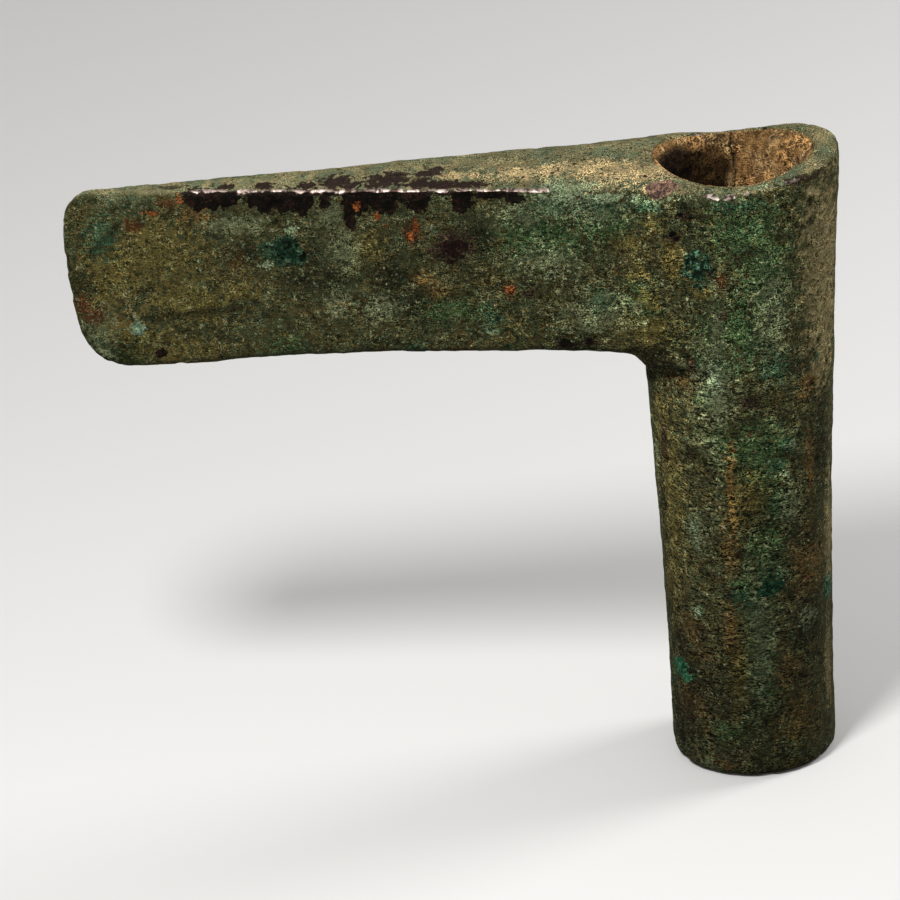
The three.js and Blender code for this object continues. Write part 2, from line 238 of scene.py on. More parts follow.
def make_lamp(name, place, size, watts):
    data = bpy.data.lights.new(name, "AREA")
    data.shape = "DISK"
    data.size = size
    data.energy = watts
    lamp = new_object(name, data)
    lamp.location = place
    middle = (frame_box[0] + frame_box[1]) / 2
    lamp.rotation_euler = (lamp.location - middle).to_track_quat("Z", "Y").to_euler()


for name, values in LAMPS.items():
    make_lamp(name, *values)
print("lamps", list(LAMPS))

# %% [markdown]
# The casting's skin
#
# The frame's casting has the right form but large flat faces. A real one has a skin that the mould,
# corrosion and cleaning have left uneven. One could only paint that with bump, but then the outline
# would stay too clean. So the casting gets a new, even mesh of half millimetre cells, which is then
# pushed in and out.

# %% A finely divided copy of the casting
SKIN_CELL = 0.5 * MM
SOFTEN_SHARE = 0.5
SOFTEN_ROUNDS = 5


def evened(node, name, cell):
    """A new object with the node's form in small even cells, its facets softened."""
    piece = new_object(name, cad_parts[node].data.copy())
    remesh = piece.modifiers.new("even cells", "REMESH")
    remesh.mode = "VOXEL"
    remesh.voxel_size = cell
    soften = piece.modifiers.new("soften facets", "SMOOTH")
    soften.factor = SOFTEN_SHARE
    soften.iterations = SOFTEN_ROUNDS
    depsgraph = bpy.context.evaluated_depsgraph_get()
    mesh = bpy.data.meshes.new_from_object(piece.evaluated_get(depsgraph))
    piece.modifiers.clear()
    piece.data = mesh
    mesh.materials.clear()
    return piece


def vectors_of(collection, name):
    values = np.empty(len(collection) * 3, np.float32)
    collection.foreach_get(name, values)
    return values.reshape(-1, 3).astype(float)


casting = evened("axe_casting", "bronze_casting", SKIN_CELL)
points = vectors_of(casting.data.vertices, "co")
normals = vectors_of(casting.data.vertex_normals, "vector")
print("casting cells", len(casting.data.polygons))

# %% Which points face the camera, and which line the bore
HEAD_RADIUS = 14 * MM

facing = normals @ np.array(to_camera)
faces_axis = (normals[:, :2] * points[:, :2]).sum(axis=1) < 0
in_bore = faces_axis & (np.hypot(points[:, 0], points[:, 1]) < HEAD_RADIUS)
print("points that face the camera", int((facing > 0).sum()), "of", len(points))


# %% Cloudy values, and places on the skin
CLOUD_FADE = 1.0
CLOUD_STEP = 2.0
FLATTEST_VIEW = 0.3
NEARLY_UPWARDS = 0.9


def clouds(places, size, octaves=3, shift=0.0):
    """Smooth noise from about -1 to 1 with lumps of that size, one value for each place."""
    return np.array([
        noise.fractal(Vector(place), CLOUD_FADE, CLOUD_STEP, octaves, noise_basis="PERLIN_NEW")
        for place in places / size + shift
    ])


def stretch_of(direction):
    """How many pixels of the photo one metre along this direction covers, seen not too flat."""
    seen = direction - to_camera * direction.dot(to_camera)
    return pixels_per_metre * max(seen.length, FLATTEST_VIEW)


def tangents(normal):
    """Level and rising directions along a surface."""
    up = Vector((0, 0, 1))
    along = Vector((1, 0, 0)) if abs(normal.z) > NEARLY_UPWARDS else up.cross(normal).normalized()
    return along, normal.cross(along)


def smooth(value):
    """An eased step from 0 at 0 to 1 at 1."""
    held = np.clip(value, 0, 1)
    return held * held * (3 - 2 * held)


# %% Ovals and lines on the skin
def inside(place, normal, half_along, half_rising):
    """How deep within an oval each point lies: 1 in its middle, 0 at its rim and -1 far outside."""
    along, rising = tangents(normal)
    offsets = points - np.array(place)
    reach = max(half_along, half_rising)
    distances = np.sqrt(
        (offsets @ np.array(along) / half_along) ** 2
        + (offsets @ np.array(rising) / half_rising) ** 2
        + (offsets @ np.array(normal) / reach) ** 2
    )
    return np.clip(1 - distances, -1, 1)


def ovals_field(ovals):
    """The ovals of a list read off the photo as x, y, half width and half height, all in its pixels."""
    field = np.full(len(points), -1.0)
    for pixel_x, pixel_y, half_width, half_height in ovals:
        place, normal = metal_at(pixel_x, pixel_y)
        along, rising = tangents(normal)
        oval = inside(place, normal, half_width / stretch_of(along), half_height / stretch_of(rising))
        field = np.maximum(field, oval)
    return field


def line_distance(pixels):
    """Distance of each point from a line on the metal, whose corners are pixels of the photo."""
    corners = [np.array(metal_at(*pixel)[0]) for pixel in pixels]
    distance = np.full(len(points), np.inf)
    for start, end in zip(corners, corners[1:]):
        line = end - start
        share = np.clip((points - start) @ line / (line @ line), 0, 1)
        gap = np.linalg.norm(points - start - share[:, None] * line, axis=1)
        distance = np.minimum(distance, gap)
    return distance


# %% [markdown]
# Where the stains, the painted shade and the painted highlights are
#
# The patina is not one colour. It has lost its skin along the blade's top edge, where dark copper
# oxide and worn metal show, and it carries soft patches of green, teal, ochre, rust and tan. Each
# kind is a list of ovals read off the photo. A few of the dark, pale and tan ovals are also painted
# shade, painted highlight and painted light. The side that the photo doesn't show gets ovals of
# nearly the same kinds, in like sizes, scattered with a fixed seed.

# %% Ovals of each kind of stain, as x, y, half width and half height in pixels of the photo
CREST_STEP = 8

# Rows of ovals along the blade's long edge: y, the first and the last x, half width and half height
CREST_ROW = (190, 330, 544, 10, 3.5)
FAINT_CREST_ROW = (190, 186, 330, 8, 1.6)
UNDER_CREST_ROW = (193, 190, 470, 9, 1.3)


def row_of(y, first, last, half_width, half_height):
    return [(x, y, half_width, half_height) for x in range(first, last, CREST_STEP)]


OVALS = {
    "oxide": row_of(*UNDER_CREST_ROW) + [
        (196, 199, 11, 7), (209, 201, 9, 7), (222, 200, 9, 7), (233, 197, 5, 5), (198, 206, 4, 5),
        (214, 207, 4, 5), (254, 199, 7, 6), (266, 201, 9, 8), (279, 201, 8, 8), (291, 202, 9, 9),
        (303, 201, 8, 9), (262, 208, 4, 5), (284, 209, 4, 5), (303, 209, 4, 6), (324, 200, 4, 9),
        (350, 203, 7, 10), (361, 202, 8, 10), (348, 214, 4.5, 9), (351, 222, 4, 6), (376, 201, 7, 9),
        (386, 202, 8, 9), (391, 209, 4, 5), (402, 196, 9, 4), (418, 200, 9, 9), (418, 206, 4, 4),
        (461, 199, 10, 9), (461, 206, 6, 5), (492, 195, 16, 3), (515, 198, 7, 5), (226, 187, 7, 2),
        (265, 186, 6, 3), (307, 185, 8, 3.5), (335, 181, 12, 6), (350, 185, 9, 3), (386, 181, 16, 7),
        (399, 178, 8, 4), (418, 184, 12, 4), (431, 184, 12, 4), (447, 185, 13, 4), (466, 185, 14, 3),
        (428, 173, 9, 3), (437, 170, 5, 2), (680, 215, 2.5, 2), (690, 218, 3, 1.6), (672, 234, 2.5, 2.5),
        (677, 239, 2, 2), (566, 344, 5, 3), (590, 342, 3, 3), (162, 353, 5, 4),
    ],
    "plum": [
        (297, 203.6, 7, 7), (451, 247, 20, 14), (798, 179, 11, 4), (724, 316, 4, 4), (168, 188, 16, 2),
        (529, 294, 7, 4), (270, 198, 5, 4), (751, 402, 9, 8), (692, 364, 4.5, 8), (418, 181, 14, 4),
        (395, 179, 6, 3), (445, 183, 12, 3), (665, 441, 4, 24), (683, 217, 7, 3), (674, 237, 5, 3),
        (711, 272, 4, 4), (565, 345, 8, 3), (590, 343, 6, 4), (161.7, 353, 6, 5), (815, 175, 7, 3),
    ],
    "worn": row_of(*CREST_ROW) + row_of(*FAINT_CREST_ROW) + [
        (712, 197, 8, 1.8), (731, 195, 9, 1.8), (604, 190.5, 3, 3),
    ],
    "orange": [
        (179.5, 200, 3.5, 5), (153, 213, 9, 2), (356, 207, 3.5, 4.5), (377, 217, 2.5, 3.5), (385, 225, 2, 2),
        (415, 225, 3.5, 5), (411, 236, 4.5, 4.5), (509.5, 289.5, 5, 4.5), (513, 300, 1.5, 1.5),
    ],
    "teal": [
        (271, 249, 12, 10), (552, 204, 18, 8), (598, 206, 22, 6), (640, 206, 18, 5), (699, 265, 7, 9),
        (704, 281, 7, 4), (776, 369, 12, 10), (787, 447, 7, 7), (777, 465, 7, 6), (776, 577, 13, 6),
        (741, 598, 9, 8), (827, 586, 5, 10), (698, 613, 5, 5), (100, 236, 14, 16), (601, 300, 11, 10),
        (492, 320, 9, 11), (817, 355, 3, 6), (432, 233, 4, 4), (736, 206, 26, 5),
    ],
    "leaf": [
        (767, 275, 26, 44), (745, 232, 34, 24), (755, 455, 32, 28), (720, 366, 26, 14), (740, 335, 34, 26),
        (725, 440, 14, 14), (765, 690, 10, 16), (730, 731, 14, 10), (705, 400, 10, 10), (765, 480, 20, 12),
        (672, 672, 8, 8), (795, 730, 12, 16), (540, 235, 40, 22), (600, 225, 30, 14), (745, 590, 12, 12),
        (450, 310, 26, 12), (640, 300, 16, 18), (775, 500, 14, 18), (758, 645, 16, 70), (766, 545, 18, 34),
    ],
    "ochre": [
        (108, 270, 22, 28), (95, 262, 14, 16), (150, 235, 22, 14), (128, 330, 26, 16), (238, 290, 20, 8),
        (168, 350, 38, 9), (654, 225, 9, 8), (630, 243, 13, 9), (673, 252, 9, 9), (675, 269, 9, 10),
        (701, 288, 10, 9), (661, 200, 8, 5), (640, 270, 12, 8), (650, 300, 14, 9), (655, 332, 22, 14),
        (668, 480, 12, 90), (620, 322, 18, 10), (178, 240, 16, 12), (105, 300, 14, 14), (150, 255, 44, 26),
        (190, 300, 34, 20), (732, 495, 5, 52), (688, 655, 7, 6), (740, 665, 10, 34), (752, 500, 12, 26),
        (672, 570, 9, 40), (365, 250, 14, 12),
    ],
    "umber": [
        (731, 628, 7, 26), (730, 548, 7, 18), (732, 500, 4, 50), (811, 382, 12, 12), (790, 669, 12, 12),
        (692, 632, 14, 16), (727, 765, 10, 4), (706, 657, 9, 5), (337, 304, 9, 6), (424, 279, 8, 6),
        (437, 290, 8, 8), (196, 215, 14, 8), (238, 262, 9, 7), (811, 460, 5, 30), (800, 720, 16, 18),
        (808, 565, 14, 28), (690, 700, 14, 20), (680, 382, 16, 6),
    ],
    "rust": [
        (83, 306, 8, 9), (97, 316, 12, 7), (126, 222, 3.5, 3.5), (721, 280, 6, 5), (133, 226, 8, 5),
        (508, 290, 7, 7), (413, 231, 8, 10), (168, 203, 10, 3),
    ],
    # Dark patches of patina, and painted shade: in the crease under the blade's root and down the socket's
    # lower left edge.
    "dark_patina_and_shade": [
        (312, 257, 8, 14), (330, 279, 13, 10), (80, 286, 12, 11), (478, 240, 14, 13), (300, 280, 16, 8),
        (711, 474, 8, 6), (690, 452, 7, 7), (809, 625, 10, 26), (811, 219, 3.5, 12), (814, 280, 3, 3),
        (700, 690, 20, 18), (760, 520, 10, 10), (754, 704, 5, 5), (650, 354, 18, 5), (810, 536, 10, 8),
        (668, 375, 22, 4), (690, 228, 4, 5), (410, 300, 16, 12), (250, 255, 22, 10), (674, 233, 4, 3),
        (705, 235, 5, 3), (710, 270, 7, 7), (564, 341, 10, 7), (578, 347, 12, 5), (590, 341, 7, 6),
        (186, 331, 8, 2.5), (684, 650, 7, 26), (704, 640, 8, 16), (688, 712, 8, 26), (664, 505, 3, 34),
        (388, 275, 16, 16), (680, 716, 8, 32), (826, 178, 2, 4), (694, 684, 10, 20), (820, 430, 9, 44),
    ],
    # Pale patches of patina. The ones down the socket's front ridge also paint the soft highlight on that
    # ridge: painted highlight.
    "pale": [
        (331, 214, 12, 12), (347, 249, 14, 16), (338, 304, 14, 12), (715, 390, 17, 32), (696, 530, 9, 18),
        (712, 447, 9, 10), (545, 262, 28, 13), (807, 615, 8, 10), (158, 345, 2.5, 2), (343, 350, 4, 2),
        (600, 312, 30, 18), (380, 310, 16, 10), (718, 332, 6, 34), (772, 314, 16, 38), (760, 640, 12, 62),
        (534, 213, 30, 11), (590, 213, 28, 9), (120, 200, 20, 5), (235, 225, 26, 8), (790, 505, 10, 18),
        (600, 205, 44, 4),
    ],
    "mint": [
        (292, 231, 5, 7), (267, 265, 6, 3), (138, 327, 6, 7), (657, 450, 3, 9), (792, 446, 4, 5),
        (782, 475, 6, 2.5), (697, 612, 4, 5), (827, 586, 3, 8), (492, 332, 9, 2), (574, 188, 24, 9),
        (600, 197, 64, 4), (695, 531, 4, 10), (714, 380, 5, 14), (760, 187, 14, 2.5), (570, 199, 26, 4),
    ],
    # Tan patches of patina. The long ones down the socket's right edge also paint the light on that side:
    # painted light.
    "tan": [
        (825, 250, 20, 64), (826, 318, 17, 42), (820, 362, 9, 20), (812, 191, 9, 5), (829, 530, 6, 60),
        (829, 665, 5, 36), (820, 138, 8, 7), (808, 158, 6, 5),
    ],
    "sand": [
        (627, 174, 38, 10), (600, 167, 28, 7), (555, 170, 26, 7), (652, 172, 16, 9), (515, 173, 20, 6),
        (455, 176, 20, 4), (650, 188, 10, 3),
    ],
}
print("ovals", sum(len(ovals) for ovals in OVALS.values()))

# %% Scattered ovals for the unseen side: how many of a kind, and their smallest and largest half sizes
HIDDEN_SEED = 11
HIDDEN_FACING = -0.15
HIDDEN_OVALS = {
    "oxide": (6, 0.4 * MM, 1.2 * MM),
    "plum": (12, 1 * MM, 3 * MM),
    "orange": (9, 0.4 * MM, 1 * MM),
    "teal": (18, 1 * MM, 3.4 * MM),
    "leaf": (22, 1.6 * MM, 6 * MM),
    "ochre": (24, 2 * MM, 6 * MM),
    "umber": (16, 1 * MM, 4 * MM),
    "rust": (10, 0.6 * MM, 2 * MM),
    "dark_patina_and_shade": (20, 1.4 * MM, 4 * MM),
    "pale": (20, 1.4 * MM, 5 * MM),
    "mint": (12, 0.6 * MM, 2 * MM),
    "tan": (10, 1.5 * MM, 6 * MM),
}
hidden = np.flatnonzero((facing < HIDDEN_FACING) & ~in_bore)
chance = np.random.default_rng(HIDDEN_SEED)


def scattered(count, smallest, largest):
    """Ovals at random places on the side that faces away."""
    field = np.full(len(points), -1.0)
    for index in chance.choice(hidden, count):
        half_along, half_rising = chance.uniform(smallest, largest, 2)
        oval = inside(Vector(points[index]), Vector(normals[index]), half_along, half_rising)
        field = np.maximum(field, oval)
    return field


fields = {kind: ovals_field(ovals) for kind, ovals in OVALS.items()}
for kind, values in HIDDEN_OVALS.items():
    fields[kind] = np.maximum(fields[kind], scattered(*values))
print("share stained", {kind: round(float((field > 0).mean()), 3) for kind, field in fields.items()})

# %% [markdown]
# Relief
#
# Many things make the surface uneven: the slow waves of the casting, the lumps of the corroded skin,
# oxide that lies lower where patina flaked off, teal that has grown higher, pits, and single marks
# that the photo shows. One could sculpt them by hand. Added up as one height for each point they stay
# numbers that can be changed, and the mesh moves along its normals by that height. Nothing may leave
# the frame's box.

# %% Pits, grooves and torn borders
# Size, octaves and shift of the clouds
RAGGED = (1.7 * MM, 4, 7.3)
LUMPS = (2.6 * MM, 4, 3.1)
WAVES = (15 * MM, 2)

PIT_COUNT = 1100
PIT_SEED = 5
PIT_RADII = (0.4 * MM, 1.2 * MM)
PIT_DEPTHS = (0.08 * MM, 0.3 * MM)
BORDER_TEAR = 0.45
STEP_MIDDLE = 0.5

ragged = clouds(points, *RAGGED)
lumps = clouds(points, *LUMPS)


def pits():
    """Round hollows at random places, deepest in their middles."""
    tree = KDTree(len(points))
    for index, point in enumerate(points):
        tree.insert(point, index)
    tree.balance()
    dice = np.random.default_rng(PIT_SEED)
    sink = np.zeros(len(points))
    for centre in dice.integers(0, len(points), PIT_COUNT):
        radius = dice.uniform(*PIT_RADII)
        depth = dice.uniform(*PIT_DEPTHS)
        for _, index, distance in tree.find_range(points[centre], radius):
            sink[index] = max(sink[index], depth * (1 - (distance / radius) ** 2))
    return sink


def groove(pixels, width, depth):
    """A hollow along a line of pixels. A negative depth makes a ridge."""
    return depth * smooth(1 - line_distance(pixels) / width)


def torn(kind, steepness):
    """1 within the stains of a kind and 0 outside, with a torn border."""
    return smooth((fields[kind] + BORDER_TEAR * ragged) * steepness + STEP_MIDDLE)


pit_depths = pits()
print("share pitted", round(float((pit_depths > 0).mean()), 3))

# %% Single marks: the crease under the blade's root, wrinkles, a scratch, a crack and a soft ridge
GROOVES = [
    ([(650, 373), (660, 377), (680, 379), (706, 380)], 2.2 * MM, 0.55 * MM),
    ([(634, 350), (650, 360), (672, 366)], 0.9 * MM, 0.22 * MM),
    ([(648, 364), (664, 369), (690, 372)], 0.9 * MM, 0.22 * MM),
    ([(92, 257), (104, 244), (118, 227)], 0.9 * MM, 0.35 * MM),
    ([(145, 318), (172, 317), (206, 312), (238, 308)], 0.8 * MM, 0.14 * MM),
    ([(681, 207), (692, 214), (700, 218)], 0.9 * MM, 0.2 * MM),
    ([(717, 215), (721, 330), (724, 480), (730, 640), (736, 745)], 5 * MM, -0.22 * MM),
]
print("marks", len(GROOVES))

# %% Heights of the skin
WAVE_HEIGHT = 0.22 * MM
LUMP_HEIGHT = 0.12 * MM
FLAKE_DEPTH = 0.16 * MM
FLAKE_STEEPNESS = 4
GROWTH_HEIGHT = 0.08 * MM
GROWTH_STEEPNESS = 3
RUB_STEEPNESS = 4
RUBBED_SHARE = 0.85

marks = (
    LUMP_HEIGHT * lumps
    - FLAKE_DEPTH * torn("oxide", FLAKE_STEEPNESS)
    + GROWTH_HEIGHT * torn("teal", GROWTH_STEEPNESS)
    - pit_depths
    - sum(groove(*values) for values in GROOVES)
)
rubbed_flat = smooth(fields["worn"] * RUB_STEEPNESS)
heights = WAVE_HEIGHT * clouds(points, *WAVES) + marks * (1 - RUBBED_SHARE * rubbed_flat)
low, high = (np.array(corner) for corner in frame_box)
points = np.clip(points + normals * heights[:, None], low, high)
casting.data.vertices.foreach_set("co", points.astype(np.float32).ravel())
casting.data.update()
print("relief in mm", round(heights.min() / MM, 2), round(heights.max() / MM, 2))

# %% Where earth clings inside the mouth
EARTH_BELOW_RIM = 1.3 * MM
EARTH_FADE = 0.5 * MM
ANGLE_BINS = 40

earth_points = vectors_of(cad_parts["socket_earth"].data.vertices, "co")
earth_angles = np.arctan2(earth_points[:, 1], earth_points[:, 0])
bin_of = np.rint(earth_angles / (2 * math.pi) * ANGLE_BINS).astype(int) % ANGLE_BINS
earth_tops = np.array([earth_points[bin_of == number, 2].max() for number in range(ANGLE_BINS)])


def earth_top(angles):
    """Height of the earth lining's upper rim in the frame, all the way round."""
    known = np.arange(ANGLE_BINS) / ANGLE_BINS * 2 * math.pi
    return np.interp(angles, known, earth_tops, period=2 * math.pi)


below_lip = earth_top(np.arctan2(points[:, 1], points[:, 0])) + EARTH_BELOW_RIM - points[:, 2]
mouth_earth = np.where(in_bore, np.clip(below_lip / EARTH_FADE - 1, -1, 1), -1)
print("lowest top of the earth in mm", round(float(earth_tops.min()) / MM, 1))

# %% Fields that the finish reads, one value for each point
GROOVE_DARK_SHARE = 0.8
TEAR = 0.4
OXIDE_SPREAD = 0.25


def store(mesh, name, values):
    attribute = mesh.attributes.new(name, "FLOAT", "POINT")
    attribute.data.foreach_set("value", np.asarray(values, np.float32))


fields["oxide"] += OXIDE_SPREAD
# The grooves are darkened along their lines. In the crease under the blade's root and the wrinkles by it,
# that is painted shade.
for pixels, width, depth in GROOVES:
    if depth > 0:
        groove_dark = 1 - line_distance(pixels) / (GROOVE_DARK_SHARE * width)
        fields["dark_patina_and_shade"] = np.maximum(fields["dark_patina_and_shade"], groove_dark)
for kind, field in fields.items():
    store(casting.data, kind, field + TEAR * ragged)
store(casting.data, "pit", pit_depths / PIT_DEPTHS[1])
store(casting.data, "rise", lumps)
store(casting.data, "mouth_earth", mouth_earth)
casting.data.shade_smooth()
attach(casting, ROOT)
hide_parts("axe_casting")
print("fields", [attribute.name for attribute in casting.data.attributes if attribute.data_type == "FLOAT"])

# %% [markdown]
# Shared effects
#
# Patina, earth and crust are all granular, cloudy and speckled, at different scales and in different
# colours. So each of these effects is a node group with named inputs and outputs, and every material
# sets its own values. A few more helpers come first, for what the groups and the materials do again
# and again.


# %% Helpers for colours, masks and noise
def srgb(red, green, blue):
    """A colour as a picture editor shows it, from 0 to 255, in the linear values that shaders use."""
    values = [channel / 255 for channel in (red, green, blue)]
    return (*[v / 12.92 if v <= 0.04045 else ((v + 0.055) / 1.055) ** 2.4 for v in values], 1.0)


def times(tree, first, second):
    return calculate(tree, "MULTIPLY", first, second)


def outside(tree, mask):
    """1 where the mask is 0, and 0 where it is 1."""
    return calculate(tree, "SUBTRACT", 1.0, mask)


def step(tree, value, start, end, low=0.0, high=1.0):
    """An eased step from low to high as the value goes from start to end."""
    values = {"Value": value, "From Min": start, "From Max": end, "To Min": low, "To Max": high}
    return add(tree, "MapRange", values, interpolation_type="SMOOTHSTEP").outputs["Result"]


def lay_value(tree, mask, below, above):
    """One number over another where the mask is 1."""
    return add(tree, "Mix", {0: mask, 2: below, 3: above}, data_type="FLOAT").outputs[0]


def combine(tree, operation, first, second):
    """Two vectors, added or multiplied."""
    return add(tree, "VectorMath", {0: first, 1: second}, operation=operation).outputs[0]


def scaled(tree, vector, amount):
    """A colour or a vector made brighter or longer by that amount."""
    return add(tree, "VectorMath", {0: vector, "Scale": amount}, operation="SCALE").outputs[0]


def place_on(tree):
    return add(tree, "TexCoord").outputs["Object"]


def cloud(tree, place, size, detail=3.0, roughness=0.6, distortion=0.0):
    """Noise with lumps of that size in metres."""
    scale = calculate(tree, "DIVIDE", 1.0, size)
    values = {"Vector": place, "Scale": scale, "Detail": detail, "Roughness": roughness}
    return add(tree, "TexNoise", {**values, "Distortion": distortion}).outputs[0]


NOISE_MIDDLE = 0.5
NOISE_SPREAD = 0.08


def centred(tree, value):
    """Noise as a value about 0 that mostly lies between -1 and 1."""
    return calculate(tree, "DIVIDE", calculate(tree, "SUBTRACT", value, NOISE_MIDDLE), NOISE_SPREAD)


# %% Helpers for node groups
def new_group(name, inputs, outputs):
    """An empty node group, the sockets that it is given and the sockets that it gives back."""
    tree = bpy.data.node_groups.new(name, "ShaderNodeTree")
    for label, kind, value in inputs:
        socket = tree.interface.new_socket(label, in_out="INPUT", socket_type="NodeSocket" + kind)
        socket.default_value = value
    for label, kind in outputs:
        tree.interface.new_socket(label, in_out="OUTPUT", socket_type="NodeSocket" + kind)
    return tree, tree.nodes.new("NodeGroupInput").outputs, tree.nodes.new("NodeGroupOutput").inputs


def use(tree, group, values):
    """The outputs of a group placed in a material, with its own values."""
    return add(tree, "Group", values, node_tree=group).outputs


# %% [markdown]
# Grain
#
# Close up, every surface here is granular: tiny grains, clumps of them, and on the steep metal thin
# wavy strands, mostly level. Plain noise makes the grains. A strand is the line along which noise
# crosses its middle value, and squeezing the noise along the height turns such lines level. Patches
# of metal are rougher than others. The group gives a tone to multiply a colour by, the brightest
# grains as a mask for painted glints, and a height about 0 for bump.

# %% Grain as a node group
# Sizes in grains: a clump, a strand's width and a rough patch
CLUMP_GRAINS, STRAND_GRAINS, PATCH_GRAINS = 4.0, 2.2, 16.0
# Detail, roughness and distortion of the noises
GRAIN_NOISE = (2.0, 0.7)
STRAND_NOISE = (3.0, 0.65, 1.2)
# Eased steps: where each starts and ends, and from which value to which it goes
STRAND_PROFILE = (1.1, 0.0, -1.2, 2.0)
ROUGH_PATCHES = (0.4, 0.6, 0.5, 1.4)
GRAIN_SWING = (-1.6, 1.6, -1.0, 1.0)
GLINT_HEIGHTS = (1.0, 2.0)
DARKEST_TONE = 0.42
TONE_POWER = 2.0
CLUMP_HEIGHT_SHARE = 0.6


def make_grain():
    tree, given, result = new_group(
        "grain",
        [("Grain Size", "Float", 0.3 * MM), ("Clump Share", "Float", 0.35), ("Strand Length", "Float", 3.0),
         ("Strand Share", "Float", 0.0), ("Contrast", "Float", 0.5)],
        [("Tone", "Float"), ("Glint Mask", "Float"), ("Height", "Float")],
    )
    place = place_on(tree)
    size = given["Grain Size"]
    grains = centred(tree, cloud(tree, place, size, *GRAIN_NOISE))
    clumps = centred(tree, cloud(tree, place, times(tree, size, CLUMP_GRAINS)))
    squeeze = calculate(tree, "DIVIDE", 1.0, given["Strand Length"])
    squeezes = add(tree, "CombineXYZ", {"X": squeeze, "Y": squeeze, "Z": 1.0}).outputs[0]
    squeezed = combine(tree, "MULTIPLY", place, squeezes)
    waves = centred(tree, cloud(tree, squeezed, times(tree, size, STRAND_GRAINS), *STRAND_NOISE))
    strands = step(tree, calculate(tree, "ABSOLUTE", waves), *STRAND_PROFILE)
    fine = lay_value(tree, given["Strand Share"], grains, strands)
    both = lay_value(tree, given["Clump Share"], fine, clumps)
    rough = step(tree, cloud(tree, place, times(tree, size, PATCH_GRAINS)), *ROUGH_PATCHES)
    swing = times(tree, given["Contrast"], rough)
    tone = calculate(tree, "MULTIPLY_ADD", step(tree, both, *GRAIN_SWING), swing, 1.0)
    tone = calculate(tree, "MAXIMUM", tone, DARKEST_TONE)
    uneven = calculate(tree, "MULTIPLY_ADD", clumps, CLUMP_HEIGHT_SHARE, fine)
    tree.links.new(calculate(tree, "POWER", tone, TONE_POWER), result["Tone"])
    # The brightest grains, where glints are painted
    tree.links.new(step(tree, fine, *GLINT_HEIGHTS), result["Glint Mask"])
    tree.links.new(times(tree, uneven, NOISE_SPREAD), result["Height"])
    return tree


grain = make_grain()
print("group", grain.name)


def grained(tree, size, clumps, strand_length, strands, contrast):
    """The grain's tone, flecks and height."""
    return use(tree, grain, {
        "Grain Size": size, "Clump Share": clumps, "Strand Length": strand_length, "Strand Share": strands,
        "Contrast": contrast,
    })


# %% [markdown]
# Mottling
#
# Corrosion colours a surface in soft clouds that run into each other. Three colours are enough for
# each cloudy layer: two that share the ground, and a third that shows here and there.

# %% Mottling as a node group
MOTTLE_SHIFT = (0.31, 0.17, 0.23)
GROUND_NOISE = (3.0, 0.55, 0.4)
THIRD_NOISE = (3.0, 0.55, 0.3)
GROUND_BORDER = (0.42, 0.58)
THIRD_BORDER = (0.5, 0.62)


def make_mottle():
    tree, given, result = new_group(
        "mottle",
        [("Cloud Size", "Float", 5 * MM), ("Colour A", "Color", WHITE), ("Colour B", "Color", WHITE),
         ("Colour C", "Color", WHITE)],
        [("Colour", "Color")],
    )
    place = place_on(tree)
    first = cloud(tree, place, given["Cloud Size"], *GROUND_NOISE)
    second = cloud(tree, combine(tree, "ADD", place, MOTTLE_SHIFT), given["Cloud Size"], *THIRD_NOISE)
    ground = lay(tree, step(tree, first, *GROUND_BORDER), given["Colour A"], given["Colour B"])
    mixed = lay(tree, step(tree, second, *THIRD_BORDER), ground, given["Colour C"])
    tree.links.new(mixed, result["Colour"])
    return tree


mottle = make_mottle()
print("group", mottle.name)


def mottled(tree, size, first, second, third):
    """Soft clouds of three colours."""
    values = {"Cloud Size": size, "Colour A": first, "Colour B": second, "Colour C": third}
    return use(tree, mottle, values)["Colour"]


# %% [markdown]
# Specks
#
# Single dark pits and pale grains lie all over the surface. Noise would join them up, so random cells
# serve here, and only those cells whose own random number is low enough show a speck.

# %% Specks as a node group
WOBBLE_DETAIL = 2.0
HEART_SHARE = 0.4


def make_specks():
    tree, given, result = new_group(
        "specks",
        [("Spacing", "Float", 1.2 * MM), ("Share", "Float", 0.2), ("Speck Size", "Float", 0.35)],
        [("Mask", "Float")],
    )
    place = place_on(tree)
    scale = calculate(tree, "DIVIDE", 1.0, given["Spacing"])
    values = {"Vector": place, "Scale": scale, "Detail": WOBBLE_DETAIL}
    wobble = add(tree, "TexNoise", values).outputs["Color"]
    moved = combine(tree, "ADD", place, scaled(tree, wobble, given["Spacing"]))
    cells = add(tree, "TexVoronoi", {"Vector": moved, "Scale": scale}).outputs
    number = add(tree, "SeparateColor", {0: cells["Color"]}).outputs[0]
    chosen = calculate(tree, "LESS_THAN", number, given["Share"])
    heart = times(tree, given["Speck Size"], HEART_SHARE)
    near = step(tree, cells["Distance"], given["Speck Size"], heart)
    tree.links.new(times(tree, chosen, near), result["Mask"])
    return tree


specks = make_specks()
print("group", specks.name)


def speckled(tree, spacing, share, size):
    """Where single specks lie."""
    return use(tree, specks, {"Spacing": spacing, "Share": share, "Speck Size": size})["Mask"]


# %% [markdown]
# Ragged stains
#
# A stain's field says how far inside an oval a point lies. Its real border is torn and crumbly, so
# fine noise is added before the field is cut off. The cut can be sharp, as on flaked patina, or soft,
# as on a stain.

